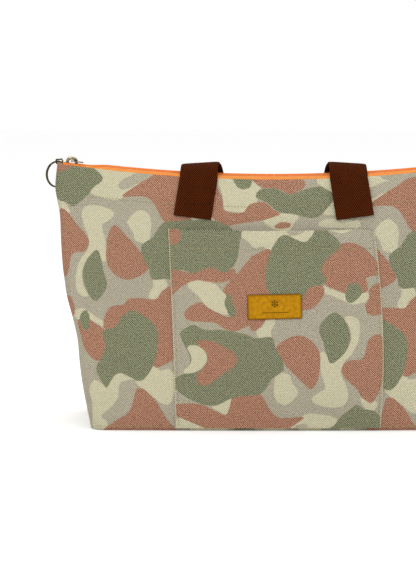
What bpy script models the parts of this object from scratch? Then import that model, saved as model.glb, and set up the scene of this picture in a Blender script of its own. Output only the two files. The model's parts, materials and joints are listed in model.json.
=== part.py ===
"""Insulated zip-top cooler bag: a canvas tote with foam walls, a lining, a pocket and webbing handles.

Frame: the origin is the centre of the base, +X runs along the zip, -Y is the front with the pocket,
and +Z is up. Everything is in metres. Each wall is a stack of layers, and every layer is the same
loft at its own depth, so the layers nest without touching.
"""

import math

import bmesh
import bpy
from mathutils import Matrix, Vector

COLLECTION = "insulated_cooler_bag"
MM = 0.001

# Body form. Heights on the walls are fractions v of the local top height: 0 at the base, 1 at the top edge.
TOP_CENTRE = 246.0 * MM
TOP_RISE = 16.0 * MM
TOP_HALF = 219.0 * MM
HALF_WIDTHS = (
    (0.00, 182.0 * MM),
    (0.04, 185.0 * MM),
    (0.22, 191.0 * MM),
    (0.34, 194.5 * MM),
    (0.42, 200.5 * MM),
    (0.50, 207.2 * MM),
    (0.60, 211.0 * MM),
    (0.80, 215.0 * MM),
    (0.90, 221.5 * MM),
    (1.00, 219.0 * MM),
)
ROWS = (0.04, 0.13, 0.22, 0.34, 0.42, 0.50, 0.60, 0.70, 0.80, 0.89, 0.905, 0.95)
BASE_CORNER_DEPTH = 73.0 * MM
BASE_MIDDLE_DEPTH = 75.0 * MM
TOP_CORNER_DEPTH = 7.0 * MM
TOP_MIDDLE_DEPTH = 16.0 * MM
BASE_RADIUS = 14.0 * MM
TOP_RADIUS = 6.5 * MM
SPLIT_ANGLE = math.radians(42.0)

# Layers of a wall, as depths in from the outer face.
GAP = 0.3 * MM
CANVAS = (0.0, 1.0 * MM)
FOAM = (1.3 * MM, 5.3 * MM)
LINING = (5.6 * MM, 6.1 * MM)
FACING = (1.3 * MM, 2.3 * MM)
WALL_START = 1.5 * MM
FOAM_START = 8.1 * MM
LINING_START = 8.9 * MM
FOAM_END = 0.89
FACING_START = 0.905

# Layers of the base, as lowest and highest z, with their inset from the outer face.
BASE_CANVAS = (0.0, 0.0, 1.2 * MM)
BASE_BOARD = (2.2 * MM, 1.5 * MM, 3.5 * MM)
BASE_FOAM = (2.2 * MM, 3.8 * MM, 7.8 * MM)
BASE_LINING = (6.8 * MM, 8.1 * MM, 8.6 * MM)

# Front pocket, and the label on it.
POCKET_LEFT = -101.0 * MM
POCKET_RIGHT = 106.0 * MM
POCKET_TOP = 198.0 * MM
POCKET_CLOTH = 1.4 * MM
POCKET_GAPE = 11.0 * MM
LABEL_CENTRE = (1.0 * MM, 123.0 * MM)
LABEL_SIZE = (54.0 * MM, 24.5 * MM)
LABEL_THICK = 1.2 * MM

# Zip.
ZIP_DROP = 1.5 * MM
TAPE_THICK = 0.8 * MM
COIL_EDGES = (0.2 * MM, 2.1 * MM)
COIL_THICK = 1.6 * MM
TAPE_INNER = 2.4 * MM
FLAP_END = 190.0 * MM
ZIP_END = 208.0 * MM
STOP_SIZE = (2.0 * MM, 7.0 * MM, 1.2 * MM)
STOP_X = 194.0 * MM
STOP_BEVEL = 0.3 * MM
SLIDER_X = -205.0 * MM
SLIDER_LENGTH = 14.0 * MM
UPPER_WING_WIDTH = 8.6 * MM
LOWER_WING_WIDTH = 7.4 * MM
WING_THICK = 1.4 * MM
WING_GAP = 1.1 * MM
WING_BEVEL = 0.4 * MM
POST_SIZE = (1.8 * MM, 2.0 * MM)
POST_INSET = 1.6 * MM
BRIDGE_SPAN = 9.0 * MM
BRIDGE_RISE = 5.4 * MM
BRIDGE_SHOULDER = 0.35
BRIDGE_WIRE = 1.0 * MM
PULL_WIDTH = 8.0 * MM
PULL_THICK = 1.0 * MM
PULL_LIFT = 1.9 * MM
PULL_BAR = 1.2 * MM
PULL_WINDOW = (6.4 * MM, 5.0 * MM)
PULL_TAIL = 5.0 * MM

# Ring and the eye that it hangs from, at the zip's left end.
EYE_CENTRE = Vector((-0.2206, 0.0122, 0.2620))
RING_RADIUS = 13.0 * MM
RING_WIRE = 0.8 * MM
RING_AZIMUTH = math.radians(40.0)
EYE_RADIUS = 2.2 * MM
EYE_WIRE = 0.6 * MM
EYE_OPENING = (math.radians(125.0), math.radians(-160.0))
EYE_STEM = (
    (-0.2139, 0.0012, 0.2555),
    (-0.2139, 0.0012, 0.2615),
    (-0.2143, 0.0022, 0.2638),
    (-0.2155, 0.0042, 0.2650),
)

# Handles.
WEB_WIDTH = 38.0 * MM
WEB_THICK = 2.0 * MM
LEG_FOOT = (81.5 * MM, 209.0 * MM)
LEG_HEAD_X = 75.5 * MM
LEG_STAND_OFF = 0.9 * MM
FRONT_FOLD_ROUTE = ((-14.8, 250.8), (-11.4, 254.6), (-6.2, 257.8), (0.5, 259.7), (6.5, 260.2), (11.8, 259.6))
BACK_LEG_END = ((17.3, 249.3), (19.4, 250.9))
FRONT_LOOP_START = ((-73.8, 15.4, 258.6), (-73.4, 21.5, 255.6), (-72.8, 28.5, 248.5))
FRONT_LOOP_FALL = (
    (-71.5, 236.0),
    (-69.0, 213.0),
    (-65.0, 188.0),
    (-59.5, 163.0),
    (-52.5, 138.0),
    (-43.0, 112.0),
    (-30.5, 89.0),
    (-16.0, 72.0),
    (0.0, 65.0),
)
FRONT_LOOP_STAND_OFF = 16.0 * MM
BACK_LOOP_START = ((-75.0, 21.7, 251.0), (-74.8, 23.6, 248.6))
BACK_LOOP_FALL = (
    (-73.5, 236.0),
    (-71.0, 213.0),
    (-67.0, 188.0),
    (-61.0, 163.0),
    (-53.0, 139.0),
    (-42.0, 116.0),
    (-28.0, 97.0),
    (-14.0, 85.0),
    (0.0, 80.0),
)
BACK_LOOP_STAND_OFF = 5.0 * MM
LOOP_TWIST = math.radians(60.0)

COLOURS = {
    "canvas": ((0.36, 0.29, 0.19, 1.0), 0.9, 0.0),
    "foam": ((0.75, 0.76, 0.78, 1.0), 0.95, 0.0),
    "lining": ((0.62, 0.64, 0.66, 1.0), 0.35, 0.3),
    "board": ((0.05, 0.05, 0.05, 1.0), 0.6, 0.0),
    "webbing": ((0.060, 0.014, 0.005, 1.0), 0.9, 0.0),
    "label": ((0.39, 0.19, 0.014, 1.0), 0.55, 0.0),
    "zip_tape": ((0.93, 0.35, 0.06, 1.0), 0.8, 0.0),
    "zip_coil": ((0.85, 0.26, 0.04, 1.0), 0.4, 0.0),
    "zip_end": ((0.30, 0.12, 0.05, 1.0), 0.9, 0.0),
    "brass": ((0.30, 0.21, 0.12, 1.0), 0.35, 1.0),
    "ring_steel": ((0.35, 0.33, 0.30, 1.0), 0.3, 1.0),
}


def clear_scene():
    """Remove everything that a new file starts with."""
    for obj in list(bpy.data.objects):
        bpy.data.objects.remove(obj, do_unlink=True)


def collection_for(name):
    """Return the collection of this name, made if the scene lacks it."""
    found = bpy.data.collections.get(name)
    if found is None:
        found = bpy.data.collections.new(name)
        bpy.context.scene.collection.children.link(found)
    return found


def finish_object(name, data, colour):
    """Link an object under its node name, with a material of its own."""
    obj = bpy.data.objects.new(name, data)
    collection_for(COLLECTION).objects.link(obj)
    base, roughness, metallic = COLOURS[colour]
    mat = bpy.data.materials.new(name + "_material")
    mat.use_nodes = True
    shader = mat.node_tree.nodes["Principled BSDF"]
    shader.inputs["Base Color"].default_value = base
    shader.inputs["Roughness"].default_value = roughness
    shader.inputs["Metallic"].default_value = metallic
    obj.data.materials.append(mat)
    return obj


def loft(name, sections, colour):
    """Skin a row of sections, each a list of points up one face and back down the other.

    Both faces are split along the same diagonals, so that a layer's inner face follows its outer one.
    """
    bm = bmesh.new()
    rings = [[bm.verts.new(point) for point in section] for section in sections]
    count = len(sections[0])
    half = count // 2
    for ring, following in zip(rings, rings[1:]):
        for i in range(count):
            j = (i + 1) % count
            if i < half:
                bm.faces.new((ring[i], ring[j], following[j]))
                bm.faces.new((ring[i], following[j], following[i]))
            else:
                bm.faces.new((ring[i], ring[j], following[i]))
                bm.faces.new((ring[j], following[j], following[i]))
    for ring in (rings[0], rings[-1]):
        for i in range(half - 1):
            bm.faces.new((ring[i], ring[i + 1], ring[count - 2 - i], ring[count - 1 - i]))
    bmesh.ops.recalc_face_normals(bm, faces=bm.faces)
    return finish_object(name, mesh_from(name, bm), colour)


def box_mesh(size, centre, bevel=0.0):
    """Return a bmesh box, with its edges rounded if bevel is given."""
    bm = bmesh.new()
    bmesh.ops.create_cube(bm, size=1.0)
    bmesh.ops.scale(bm, vec=size, verts=bm.verts)
    bmesh.ops.translate(bm, vec=centre, verts=bm.verts)
    if bevel:
        bmesh.ops.bevel(bm, geom=bm.edges[:], offset=bevel, segments=2, affect="EDGES", profile=0.5)
    return bm


def mesh_from(name, bm):
    """Turn a bmesh into a mesh, and free it."""
    mesh = bpy.data.meshes.new(name)
    bm.to_mesh(mesh)
    bm.free()
    return mesh


def boolean(obj, tool, operation):
    """Join a helper to an object, or cut it out."""
    modifier = obj.modifiers.new(operation.lower(), "BOOLEAN")
    modifier.operation = operation
    modifier.solver = "EXACT"
    modifier.object = tool


def wire(name, points, radius, colour):
    """Return a round wire along a route."""
    curve = bpy.data.curves.new(name, "CURVE")
    curve.dimensions = "3D"
    curve.bevel_depth = radius
    curve.bevel_resolution = 2
    curve.use_fill_caps = True
    spline = curve.splines.new("POLY")
    spline.points.add(len(points) - 1)
    for spot, point in zip(spline.points, points):
        spot.co = (*point, 1.0)
    return finish_object(name, curve, colour)


def smooth_route(points, steps):
    """Return points read from a Catmull-Rom curve through the given ones."""
    points = [Vector(p) for p in points]
    ends = [2 * points[0] - points[1]] + points + [2 * points[-1] - points[-2]]
    route = []
    for a, b, c, d in zip(ends, ends[1:], ends[2:], ends[3:]):
        for i in range(steps):
            t = i / steps
            cubic = 2 * b + (c - a) * t + (2 * a - 5 * b + 4 * c - d) * t**2
            route.append(0.5 * (cubic + (3 * b - a - 3 * c + d) * t**3))
    route.append(points[-1])
    return route


# The body's form


def top_height(x):
    """Height of the top edge, which sags towards the middle."""
    return TOP_CENTRE + TOP_RISE * (x / TOP_HALF) ** 2


def half_width(v):
    """Half of the body's width at height fraction v, from its outline."""
    for (v0, w0), (v1, w1) in zip(HALF_WIDTHS, HALF_WIDTHS[1:]):
        if v <= v1:
            return w0 + (w1 - w0) * (v - v0) / (v1 - v0)
    return HALF_WIDTHS[-1][1]


def corner_depth(v):
    """Half of the body's depth at its ends."""
    return TOP_CORNER_DEPTH + (BASE_CORNER_DEPTH - TOP_CORNER_DEPTH) * max(0.0, 1.0 - v**1.5) ** 1.2


def middle_depth(v):
    """Half of the body's depth at its middle."""
    return TOP_MIDDLE_DEPTH + (BASE_MIDDLE_DEPTH - TOP_MIDDLE_DEPTH) * (1.0 - v**2.2)


def corner_radius(v):
    """Radius of the body's upright corners."""
    return BASE_RADIUS + (TOP_RADIUS - BASE_RADIUS) * v


def flat_depth(u, v):
    """Half depth of the front or back at u, from -1 at the left corner to 1 at the right one."""
    corner = corner_depth(v)
    return corner + (middle_depth(v) - corner) * (1.0 - u * u)


def panel_depth(x, z):
    """Half depth of the outer face at a place on the front or back panel."""
    v = z / top_height(x)
    return flat_depth(x / (half_width(v) - corner_radius(v)), v)


def panel_point(station, v, depth):
    """Point on the front panel's half of the body. A station is along the flat, or round a corner."""
    kind, value = station
    radius = corner_radius(v)
    reach = half_width(v) - radius
    if kind == "flat":
        x = value * reach
        y = depth - flat_depth(value, v)
    else:
        x = math.copysign(reach + (radius - depth) * math.sin(abs(value)), value)
        y = radius - corner_depth(v) - (radius - depth) * math.cos(value)
    return x, y


def gusset_point(station, v, depth):
    """Point on the right gusset. A station is across its flat, or round one of its corners."""
    kind, value = station
    radius = corner_radius(v)
    reach = corner_depth(v) - radius
    if kind == "flat":
        x = half_width(v) - depth
        y = value * reach
    else:
        x = half_width(v) - radius + (radius - depth) * math.sin(abs(value))
        y = math.copysign(reach + (radius - depth) * math.cos(value), value)
    return x, y


def panel_stations():
    """Stations across a front or back panel, from one corner's split to the other."""
    corner = [SPLIT_ANGLE, SPLIT_ANGLE * 0.5]
    flats = [i / 5.0 for i in range(-5, 6)]
    left = [("corner", -angle) for angle in corner]
    right = [("corner", angle) for angle in reversed(corner)]
    return left + [("flat", u) for u in flats] + right


def gusset_stations():
    """Stations across a gusset, from its front corner's split to its back one."""
    start = math.pi / 2 - SPLIT_ANGLE
    middle = math.pi / 2 - SPLIT_ANGLE * 0.5
    front = [("corner", -start), ("corner", -middle)]
    back = [("corner", middle), ("corner", start)]
    return front + [("flat", w) for w in (-1.0, 0.0, 1.0)] + back


def rows_between(low, high):
    """Height fractions from low to high. All layers share their inner rows, so that they nest."""
    return [low] + [v for v in ROWS if low < v < high] + [high]


def wall(name, place, stations, turn, layer, low, high, colour):
    """Loft one layer of one wall between two height fractions. turn maps the pattern wall to this one."""
    rows = rows_between(low, high)
    outer, inner = layer
    sections = []
    for station in stations:
        faces = []
        for depth, order in ((outer, rows), (inner, rows[::-1])):
            for v in order:
                x, y = place(station, v, depth)
                faces.append((turn[0] * x, turn[1] * y, v * top_height(x)))
        sections.append(faces)
    return loft(name, sections, colour)


def wall_set(prefix, layer, start, high, colour):
    """Make one layer on the front, the back and both gussets."""
    low = start / TOP_CENTRE
    wall(prefix + "_front", panel_point, panel_stations(), (1, 1), layer, low, high, colour)
    wall(prefix + "_back", panel_point, panel_stations(), (1, -1), layer, low, high, colour)
    wall(prefix + "_left", gusset_point, gusset_stations(), (-1, 1), layer, low, high, colour)
    wall(prefix + "_right", gusset_point, gusset_stations(), (1, 1), layer, low, high, colour)


def base_outline(inset):
    """Points round the base, in from the outer face."""
    quarter = [math.pi / 8 * i for i in range(5)]
    radius = BASE_RADIUS - inset
    centre_x = HALF_WIDTHS[0][1] - BASE_RADIUS
    centre_y = BASE_CORNER_DEPTH - BASE_RADIUS
    points = []
    for turn, (sx, sy) in enumerate(((1, 1), (-1, 1), (-1, -1), (1, -1))):
        for angle in quarter:
            around = angle + turn * math.pi / 2
            points.append((sx * centre_x + radius * math.cos(around), sy * centre_y + radius * math.sin(around)))
    return points


def base_layer(name, layer, colour):
    """Make a flat layer of the base."""
    inset, low, high = layer
    curve = bpy.data.curves.new(name, "CURVE")
    curve.dimensions = "2D"
    curve.fill_mode = "BOTH"
    curve.extrude = (high - low) / 2
    outline = base_outline(inset)
    spline = curve.splines.new("POLY")
    spline.points.add(len(outline) - 1)
    for spot, (x, y) in zip(spline.points, outline):
        spot.co = (x, y, 0.0, 1.0)
    spline.use_cyclic_u = True
    obj = finish_object(name, curve, colour)
    obj.location.z = (low + high) / 2


def make_body():
    """Make the walls and the base, layer by layer from outside in."""
    wall_set("canvas", CANVAS, WALL_START, 1.0, "canvas")
    wall_set("foam", FOAM, FOAM_START, FOAM_END, "foam")
    wall_set("lining", LINING, LINING_START, FOAM_END, "lining")
    for side, turn in (("front", (1, 1)), ("back", (1, -1))):
        wall("facing_" + side, panel_point, panel_stations(), turn, FACING, FACING_START, 1.0, "canvas")
    base_layer("canvas_base", BASE_CANVAS, "canvas")
    base_layer("base_board", BASE_BOARD, "board")
    base_layer("foam_base", BASE_FOAM, "foam")
    base_layer("lining_base", BASE_LINING, "lining")


# The front pocket and its label


def pocket_gap(x, z):
    """Room behind the pocket's cloth: none at its sewn edges, most at the middle of its mouth."""
    across = (x - POCKET_LEFT) / (POCKET_RIGHT - POCKET_LEFT)
    return GAP + POCKET_GAPE * math.sin(math.pi * across) ** 0.7 * (z / POCKET_TOP) ** 3


def pocket_face(x, z):
    """Outer y of the pocket's cloth."""
    return -(panel_depth(x, z) + pocket_gap(x, z) + POCKET_CLOTH)


def front_skin(name, xs, zs, outer_y, thickness, colour):
    """Loft a skin of even thickness whose outer face lies at outer_y(x, z)."""
    sections = []
    for x in xs:
        outer = [(x, outer_y(x, z), z) for z in zs]
        inner = [(x, outer_y(x, z) + thickness, z) for z in reversed(zs)]
        sections.append(outer + inner)
    return loft(name, sections, colour)


def spread(low, high, count):
    """Evenly spaced values from low to high."""
    return [low + (high - low) * i / (count - 1) for i in range(count)]


def make_pocket():
    """Make the pocket's cloth and the label stitched to it."""
    xs = spread(POCKET_LEFT, POCKET_RIGHT, 13)
    zs = spread(WALL_START, POCKET_TOP, 10)
    front_skin("front_pocket", xs, zs, pocket_face, POCKET_CLOTH, "canvas")
    centre_x, centre_z = LABEL_CENTRE
    width, height = LABEL_SIZE
    xs = spread(centre_x - width / 2, centre_x + width / 2, 5)
    zs = spread(centre_z - height / 2, centre_z + height / 2, 4)

    def label_face(x, z):
        return pocket_face(x, z) - GAP - LABEL_THICK

    front_skin("label_patch", xs, zs, label_face, LABEL_THICK, "label")


# The zip


def zip_height(x):
    """Height of the zip's middle plane, just under the top edge."""
    return top_height(x) - ZIP_DROP


def mouth_half(x):
    """Half of the space between the facings at the top edge."""
    reach = half_width(1.0) - corner_radius(1.0)
    return flat_depth(x / reach, 1.0) - FACING[1] - GAP


def zip_strip(name, xs, edges, thickness, side, colour):
    """Loft a strip along the zip. edges gives its y range at x, and side is -1 in front."""
    sections = []
    for x in xs:
        near, far = edges(x)
        z = zip_height(x)
        corners = ((near, -1), (far, -1), (far, 1), (near, 1))
        sections.append([(x, side * y, z + up * thickness / 2) for y, up in corners])
    return loft(name, sections, colour)


def make_zip_chain():
    """Make the tapes and coils in four flaps, and the two ends that stay closed."""

    def tape_edges(x):
        return TAPE_INNER, mouth_half(x)

    def coil_edges(_):
        return COIL_EDGES

    def end_edges(x):
        return -mouth_half(x), mouth_half(x)

    for side_name, side in (("front", -1), ("back", 1)):
        for half_name, hand in (("left", -1), ("right", 1)):
            xs = [hand * x for x in spread(GAP, FLAP_END, 9)]
            suffix = "_" + side_name + "_" + half_name
            zip_strip("zip_tape" + suffix, xs, tape_edges, TAPE_THICK, side, "zip_tape")
            zip_strip("zip_coil" + suffix, xs, coil_edges, COIL_THICK, side, "zip_coil")
    for half_name, hand in (("left", -1), ("right", 1)):
        xs = [hand * x for x in spread(FLAP_END + GAP, ZIP_END, 3)]
        zip_strip("zip_end_" + half_name, xs, end_edges, COIL_THICK, 1, "zip_end")
    stop_z = zip_height(STOP_X) + COIL_THICK / 2 + 2 * GAP + STOP_SIZE[2] / 2
    stop = box_mesh(STOP_SIZE, (STOP_X, 0.0, stop_z), STOP_BEVEL)
    finish_object("zip_stop", mesh_from("zip_stop", stop), "brass")


def slider_frame():
    """Frame of the slider where it rests: on the zip's middle plane, tilted with its slope."""
    slope = 2 * TOP_RISE * SLIDER_X / TOP_HALF**2
    place = Vector((SLIDER_X, 0.0, zip_height(SLIDER_X)))
    return Matrix.Translation(place) @ Matrix.Rotation(-math.atan(slope), 4, "Y")


def slider_part(name, bm, colour):
    """Finish a bmesh as a part that stands in the slider's frame."""
    obj = finish_object(name, mesh_from(name, bm), colour)
    obj.matrix_world = slider_frame()
    return obj


def slider_tool(name, size, centre, bevel=0.0):
    """Make a hidden box that helps shape a slider part, in the slider's frame."""
    tool = bpy.data.objects.new(name, mesh_from(name, box_mesh(size, centre, bevel)))
    collection_for("cutters").objects.link(tool)
    tool.hide_render = True
    tool.display_type = "WIRE"
    tool.matrix_world = slider_frame()
    return tool


def make_slider():
    """Make the slider's two wings on their post, its bridge and its pull."""
    wing_z = WING_GAP + WING_THICK / 2
    upper = box_mesh((SLIDER_LENGTH, UPPER_WING_WIDTH, WING_THICK), (0.0, 0.0, wing_z), WING_BEVEL)
    body = slider_part("slider_body", upper, "brass")
    lower_size = (SLIDER_LENGTH, LOWER_WING_WIDTH, WING_THICK)
    boolean(body, slider_tool("slider_lower_wing", lower_size, (0.0, 0.0, -wing_z), WING_BEVEL), "UNION")
    post_size = (*POST_SIZE, 2 * wing_z)
    post_x = POST_INSET - SLIDER_LENGTH / 2
    boolean(body, slider_tool("slider_post", post_size, (post_x, 0.0, 0.0)), "UNION")

    foot_z = WING_GAP + WING_THICK + GAP
    half_span = BRIDGE_SPAN / 2
    arch = [(-half_span, 0.0, foot_z)]
    for i in range(9):
        angle = math.pi * i / 8
        rise = BRIDGE_RISE * (BRIDGE_SHOULDER + (1.0 - BRIDGE_SHOULDER) * math.sin(angle))
        arch.append((-half_span * math.cos(angle), 0.0, foot_z + rise))
    arch.append((half_span, 0.0, foot_z))
    wire("slider_bridge", arch, BRIDGE_WIRE, "brass").matrix_world = slider_frame()
    make_pull(foot_z + PULL_LIFT)


def make_pull(height):
    """Make the pull, a leaf with a window that loops under the bridge."""
    length = PULL_BAR + PULL_WINDOW[0] + PULL_TAIL
    leaf = box_mesh((length, PULL_WIDTH, PULL_THICK), ((length - PULL_BAR) / 2, 0.0, height))
    pull = slider_part("slider_pull", leaf, "brass")
    window_size = (*PULL_WINDOW, 4 * PULL_THICK)
    window_centre = ((PULL_BAR + PULL_WINDOW[0]) / 2, 0.0, height)
    boolean(pull, slider_tool("pull_window", window_size, window_centre), "DIFFERENCE")


def make_ring():
    """Make the wire eye at the zip's left end and the ring that hangs in it."""
    along = Vector((math.cos(RING_AZIMUTH), math.sin(RING_AZIMUTH), 0.0))
    out = Vector((-along.y, along.x, 0.0))
    up = Vector((0.0, 0.0, 1.0))
    route = [Vector(point) for point in EYE_STEM]
    start, end = EYE_OPENING
    for i in range(13):
        angle = start + (end - start) * i / 12
        route.append(EYE_CENTRE + EYE_RADIUS * (math.cos(angle) * out + math.sin(angle) * up))
    wire("ring_eye", route, EYE_WIRE, "brass")

    bpy.ops.mesh.primitive_torus_add(
        major_radius=RING_RADIUS, minor_radius=RING_WIRE, major_segments=40, minor_segments=8
    )
    torus = bpy.context.object
    mesh = torus.data
    bpy.data.objects.remove(torus)
    mesh.name = "key_ring"
    frame = Matrix((along, up, along.cross(up))).transposed().to_4x4()
    mesh.transform(Matrix.Translation(EYE_CENTRE - RING_RADIUS * up) @ frame)
    mesh.shade_smooth()
    finish_object("key_ring", mesh, "ring_steel")


# The handles


def ribbon(name, centres, widths):
    """Loft flat webbing along a route, with its width direction at each place."""
    sections = []
    for i, (centre, width) in enumerate(zip(centres, widths)):
        before = centres[max(i - 1, 0)]
        after = centres[min(i + 1, len(centres) - 1)]
        tangent = (after - before).normalized()
        across = (width - tangent * width.dot(tangent)).normalized() * (WEB_WIDTH / 2)
        normal = across.cross(tangent).normalized() * (WEB_THICK / 2)
        corners = [centre + across + normal, centre + across - normal]
        sections.append(corners + [centre - across - normal, centre - across + normal])
    return loft(name, sections, "webbing")


def make_leg(name, hand, facing):
    """Make the stretch of a handle that is sewn to a panel. The back ones go on to their loop's hinge."""
    foot_x, foot_z = LEG_FOOT
    head_z = top_height(LEG_HEAD_X) - 0.6 * MM
    centres = []
    widths = []
    for i in range(7):
        share = i / 6
        x = hand * (foot_x + (LEG_HEAD_X - foot_x) * share)
        z = foot_z + (head_z - foot_z) * share
        left, right = x - WEB_WIDTH / 2, x + WEB_WIDTH / 2
        stand_off = LEG_STAND_OFF + WEB_THICK / 2
        left_y = facing * (panel_depth(left, z) + stand_off)
        right_y = facing * (panel_depth(right, z) + stand_off)
        centres.append(Vector((x, (left_y + right_y) / 2, z)))
        widths.append(Vector((right - left, right_y - left_y, 0.0)))
    if facing > 0:
        for y, z in BACK_LEG_END:
            centres.append(Vector((hand * LEG_HEAD_X, y * MM, z * MM)))
            widths.append(Vector((1.0, 0.0, 0.0)))
    ribbon(name, centres, widths)


def make_fold(name, hand):
    """Make the stretch of the front handle that lies back over the zip."""
    count = len(FRONT_FOLD_ROUTE)
    centres = []
    for i, (y, z) in enumerate(FRONT_FOLD_ROUTE):
        x = LEG_HEAD_X - 1.2 * MM * i / (count - 1)
        centres.append(Vector((hand * x, y * MM, z * MM)))
    ribbon(name, centres, [Vector((1.0, 0.0, 0.0))] * count)


def loop_width(share):
    """Width direction along a loop: across at its legs, and turned outwards at its middle."""
    turn = 0.5 - 0.5 * math.cos(math.pi * min(1.0, max(0.0, (share - 0.25) / 0.75)))
    outward = Vector((0.0, -math.cos(LOOP_TWIST), math.sin(LOOP_TWIST)))
    return (Vector((1.0, 0.0, 0.0)) * (1.0 - turn) + outward * turn).normalized()


def loop_route(start, fall, stand_off):
    """Left half of a loop: over its fold, then down along the back, further off where it is turned."""
    route = [Vector(point) * MM for point in start]
    count = len(start) + len(fall)
    for i, (x, z) in enumerate(fall, len(start)):
        turned = abs(loop_width(i / (count - 1)).y) * WEB_WIDTH / 2
        route.append(Vector((x * MM, panel_depth(x * MM, z * MM) + stand_off + turned, z * MM)))
    return smooth_route(route, 2)


def make_loop(name, start, fall, stand_off):
    """Make a handle's free loop from its left half and the mirror of it."""
    left = loop_route(start, fall, stand_off)
    widths = [loop_width(i / (len(left) - 1)) for i in range(len(left))]
    right = [Vector((-c.x, c.y, c.z)) for c in reversed(left[:-1])]
    right_widths = [Vector((-w.x, w.y, w.z)) for w in reversed(widths[:-1])]
    ribbon(name, left + right, widths + right_widths)


def make_handles():
    """Make the legs on both panels, the front handle's folds and both loops."""
    for half_name, hand in (("left", -1), ("right", 1)):
        make_leg("handle_front_leg_" + half_name, hand, -1)
        make_leg("handle_back_leg_" + half_name, hand, 1)
        make_fold("handle_front_fold_" + half_name, hand)
    make_loop("handle_front_loop", FRONT_LOOP_START, FRONT_LOOP_FALL, FRONT_LOOP_STAND_OFF)
    make_loop("handle_back_loop", BACK_LOOP_START, BACK_LOOP_FALL, BACK_LOOP_STAND_OFF)


def main():
    """Build the whole bag."""
    clear_scene()
    make_body()
    make_pocket()
    make_zip_chain()
    make_slider()
    make_ring()
    make_handles()


main()
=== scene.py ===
"""Looks of the insulated cooler bag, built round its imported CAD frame.

Frame: the origin is the centre of the base, +X runs along the zip, -Y is the front with the pocket, and
+Z is up. Lengths are in metres, except where a name ends in _MM. The print's outlines are in millimetres,
as (across, up) pairs on the flat cloth.
"""

import json
import math

import bmesh
import bpy
import numpy as np
from mathutils import Matrix, Vector

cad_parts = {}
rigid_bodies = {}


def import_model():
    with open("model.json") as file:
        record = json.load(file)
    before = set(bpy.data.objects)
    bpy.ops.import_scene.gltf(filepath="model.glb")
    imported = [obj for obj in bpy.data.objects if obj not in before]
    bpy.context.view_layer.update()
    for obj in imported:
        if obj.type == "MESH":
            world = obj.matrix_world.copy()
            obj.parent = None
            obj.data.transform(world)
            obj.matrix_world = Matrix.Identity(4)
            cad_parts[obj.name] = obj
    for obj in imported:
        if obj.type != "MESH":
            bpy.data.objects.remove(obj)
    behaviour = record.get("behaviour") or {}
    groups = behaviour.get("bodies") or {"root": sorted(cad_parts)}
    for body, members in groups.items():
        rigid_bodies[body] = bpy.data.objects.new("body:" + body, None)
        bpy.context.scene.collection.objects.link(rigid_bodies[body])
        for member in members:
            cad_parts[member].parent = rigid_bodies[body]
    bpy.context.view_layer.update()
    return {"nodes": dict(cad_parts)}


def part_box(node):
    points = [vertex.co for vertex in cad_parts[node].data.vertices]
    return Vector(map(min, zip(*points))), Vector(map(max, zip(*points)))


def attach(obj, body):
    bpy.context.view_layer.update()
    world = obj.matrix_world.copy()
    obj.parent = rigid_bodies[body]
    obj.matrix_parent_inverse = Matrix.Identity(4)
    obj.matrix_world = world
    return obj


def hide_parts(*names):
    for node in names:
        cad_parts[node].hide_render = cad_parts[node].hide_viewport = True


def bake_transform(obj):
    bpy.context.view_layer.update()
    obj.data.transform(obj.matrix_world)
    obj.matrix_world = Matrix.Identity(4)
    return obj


MM = 0.001

# Body form, as in the CAD. Heights on the walls are fractions v of the local top height.
TOP_CENTRE = 246.0 * MM
TOP_RISE = 16.0 * MM
TOP_HALF = 219.0 * MM
HEIGHTS = (0.0, 0.04, 0.22, 0.34, 0.42, 0.50, 0.60, 0.80, 0.90, 1.0)
HALF_WIDTHS_MM = (182.0, 185.0, 191.0, 194.5, 200.5, 207.2, 211.0, 215.0, 221.5, 219.0)
WIDTH_SMOOTHING = 0.025
BASE_CORNER_DEPTH = 73.0 * MM
BASE_MIDDLE_DEPTH = 75.0 * MM
TOP_CORNER_DEPTH = 7.0 * MM
TOP_MIDDLE_DEPTH = 16.0 * MM
BASE_RADIUS = 14.0 * MM
TOP_RADIUS = 6.5 * MM

# The grid round the body. Its stations lie on flat stretches, corners or gussets, in four seamed panels.
# WALL_ROW is a row that lies on the walls in every grid that goes round the body.
STEP = 3.0 * MM
FLAT_STEPS = int(HALF_WIDTHS_MM[6] * MM / STEP)
GUSSET_STEPS = int(BASE_CORNER_DEPTH / STEP)
CORNER_ANGLES = (8.0, 16.0, 24.0, 31.0, 37.0, 41.5)
FLAT, CORNER, GUSSET = range(3)
FRONT, RIGHT, BACK, LEFT = range(4)
WALL_ROW = 20

# Canvas. BASE_SEAM_MM is the section of the seam round the base, as (height, depth) pairs. SEAM_SINK is how
# far the upright seams sink in. SLACK is how far the cloth can stand off its foam, which it does in full from
# FREE_LOW above the base to FREE_TOP below the top edge. The inside takes a share of it, INNER_SLACK.
CANVAS_THICK = 0.9 * MM
TWILL_PITCH = 2.25 * MM
SEAM_SINK = 0.6 * MM
SLACK = 2.4 * MM
FREE_LOW = 30.0 * MM
FREE_TOP = 20.0 * MM
INNER_SLACK = 0.3
BASE_RINGS = (0.02, 0.2, 0.4, 0.6, 0.8, 0.93, 0.985)
BASE_SEAM_MM = ((0.0, 0.9), (0.35, 0.25), (0.8, 0.1), (1.3, 0.75), (1.9, 0.1), (3.0, 0.0))
WALL_LOW = 6.0 * MM
WALL_TOP = 0.99
FACING_DEPTH = 2.3 * MM
FACING_END = 0.905
HEM_DROP = 27.0 * MM
BASE_STITCH_HEIGHT = 4.0 * MM
SEAM_LIFT = 0.1 * MM

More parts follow.
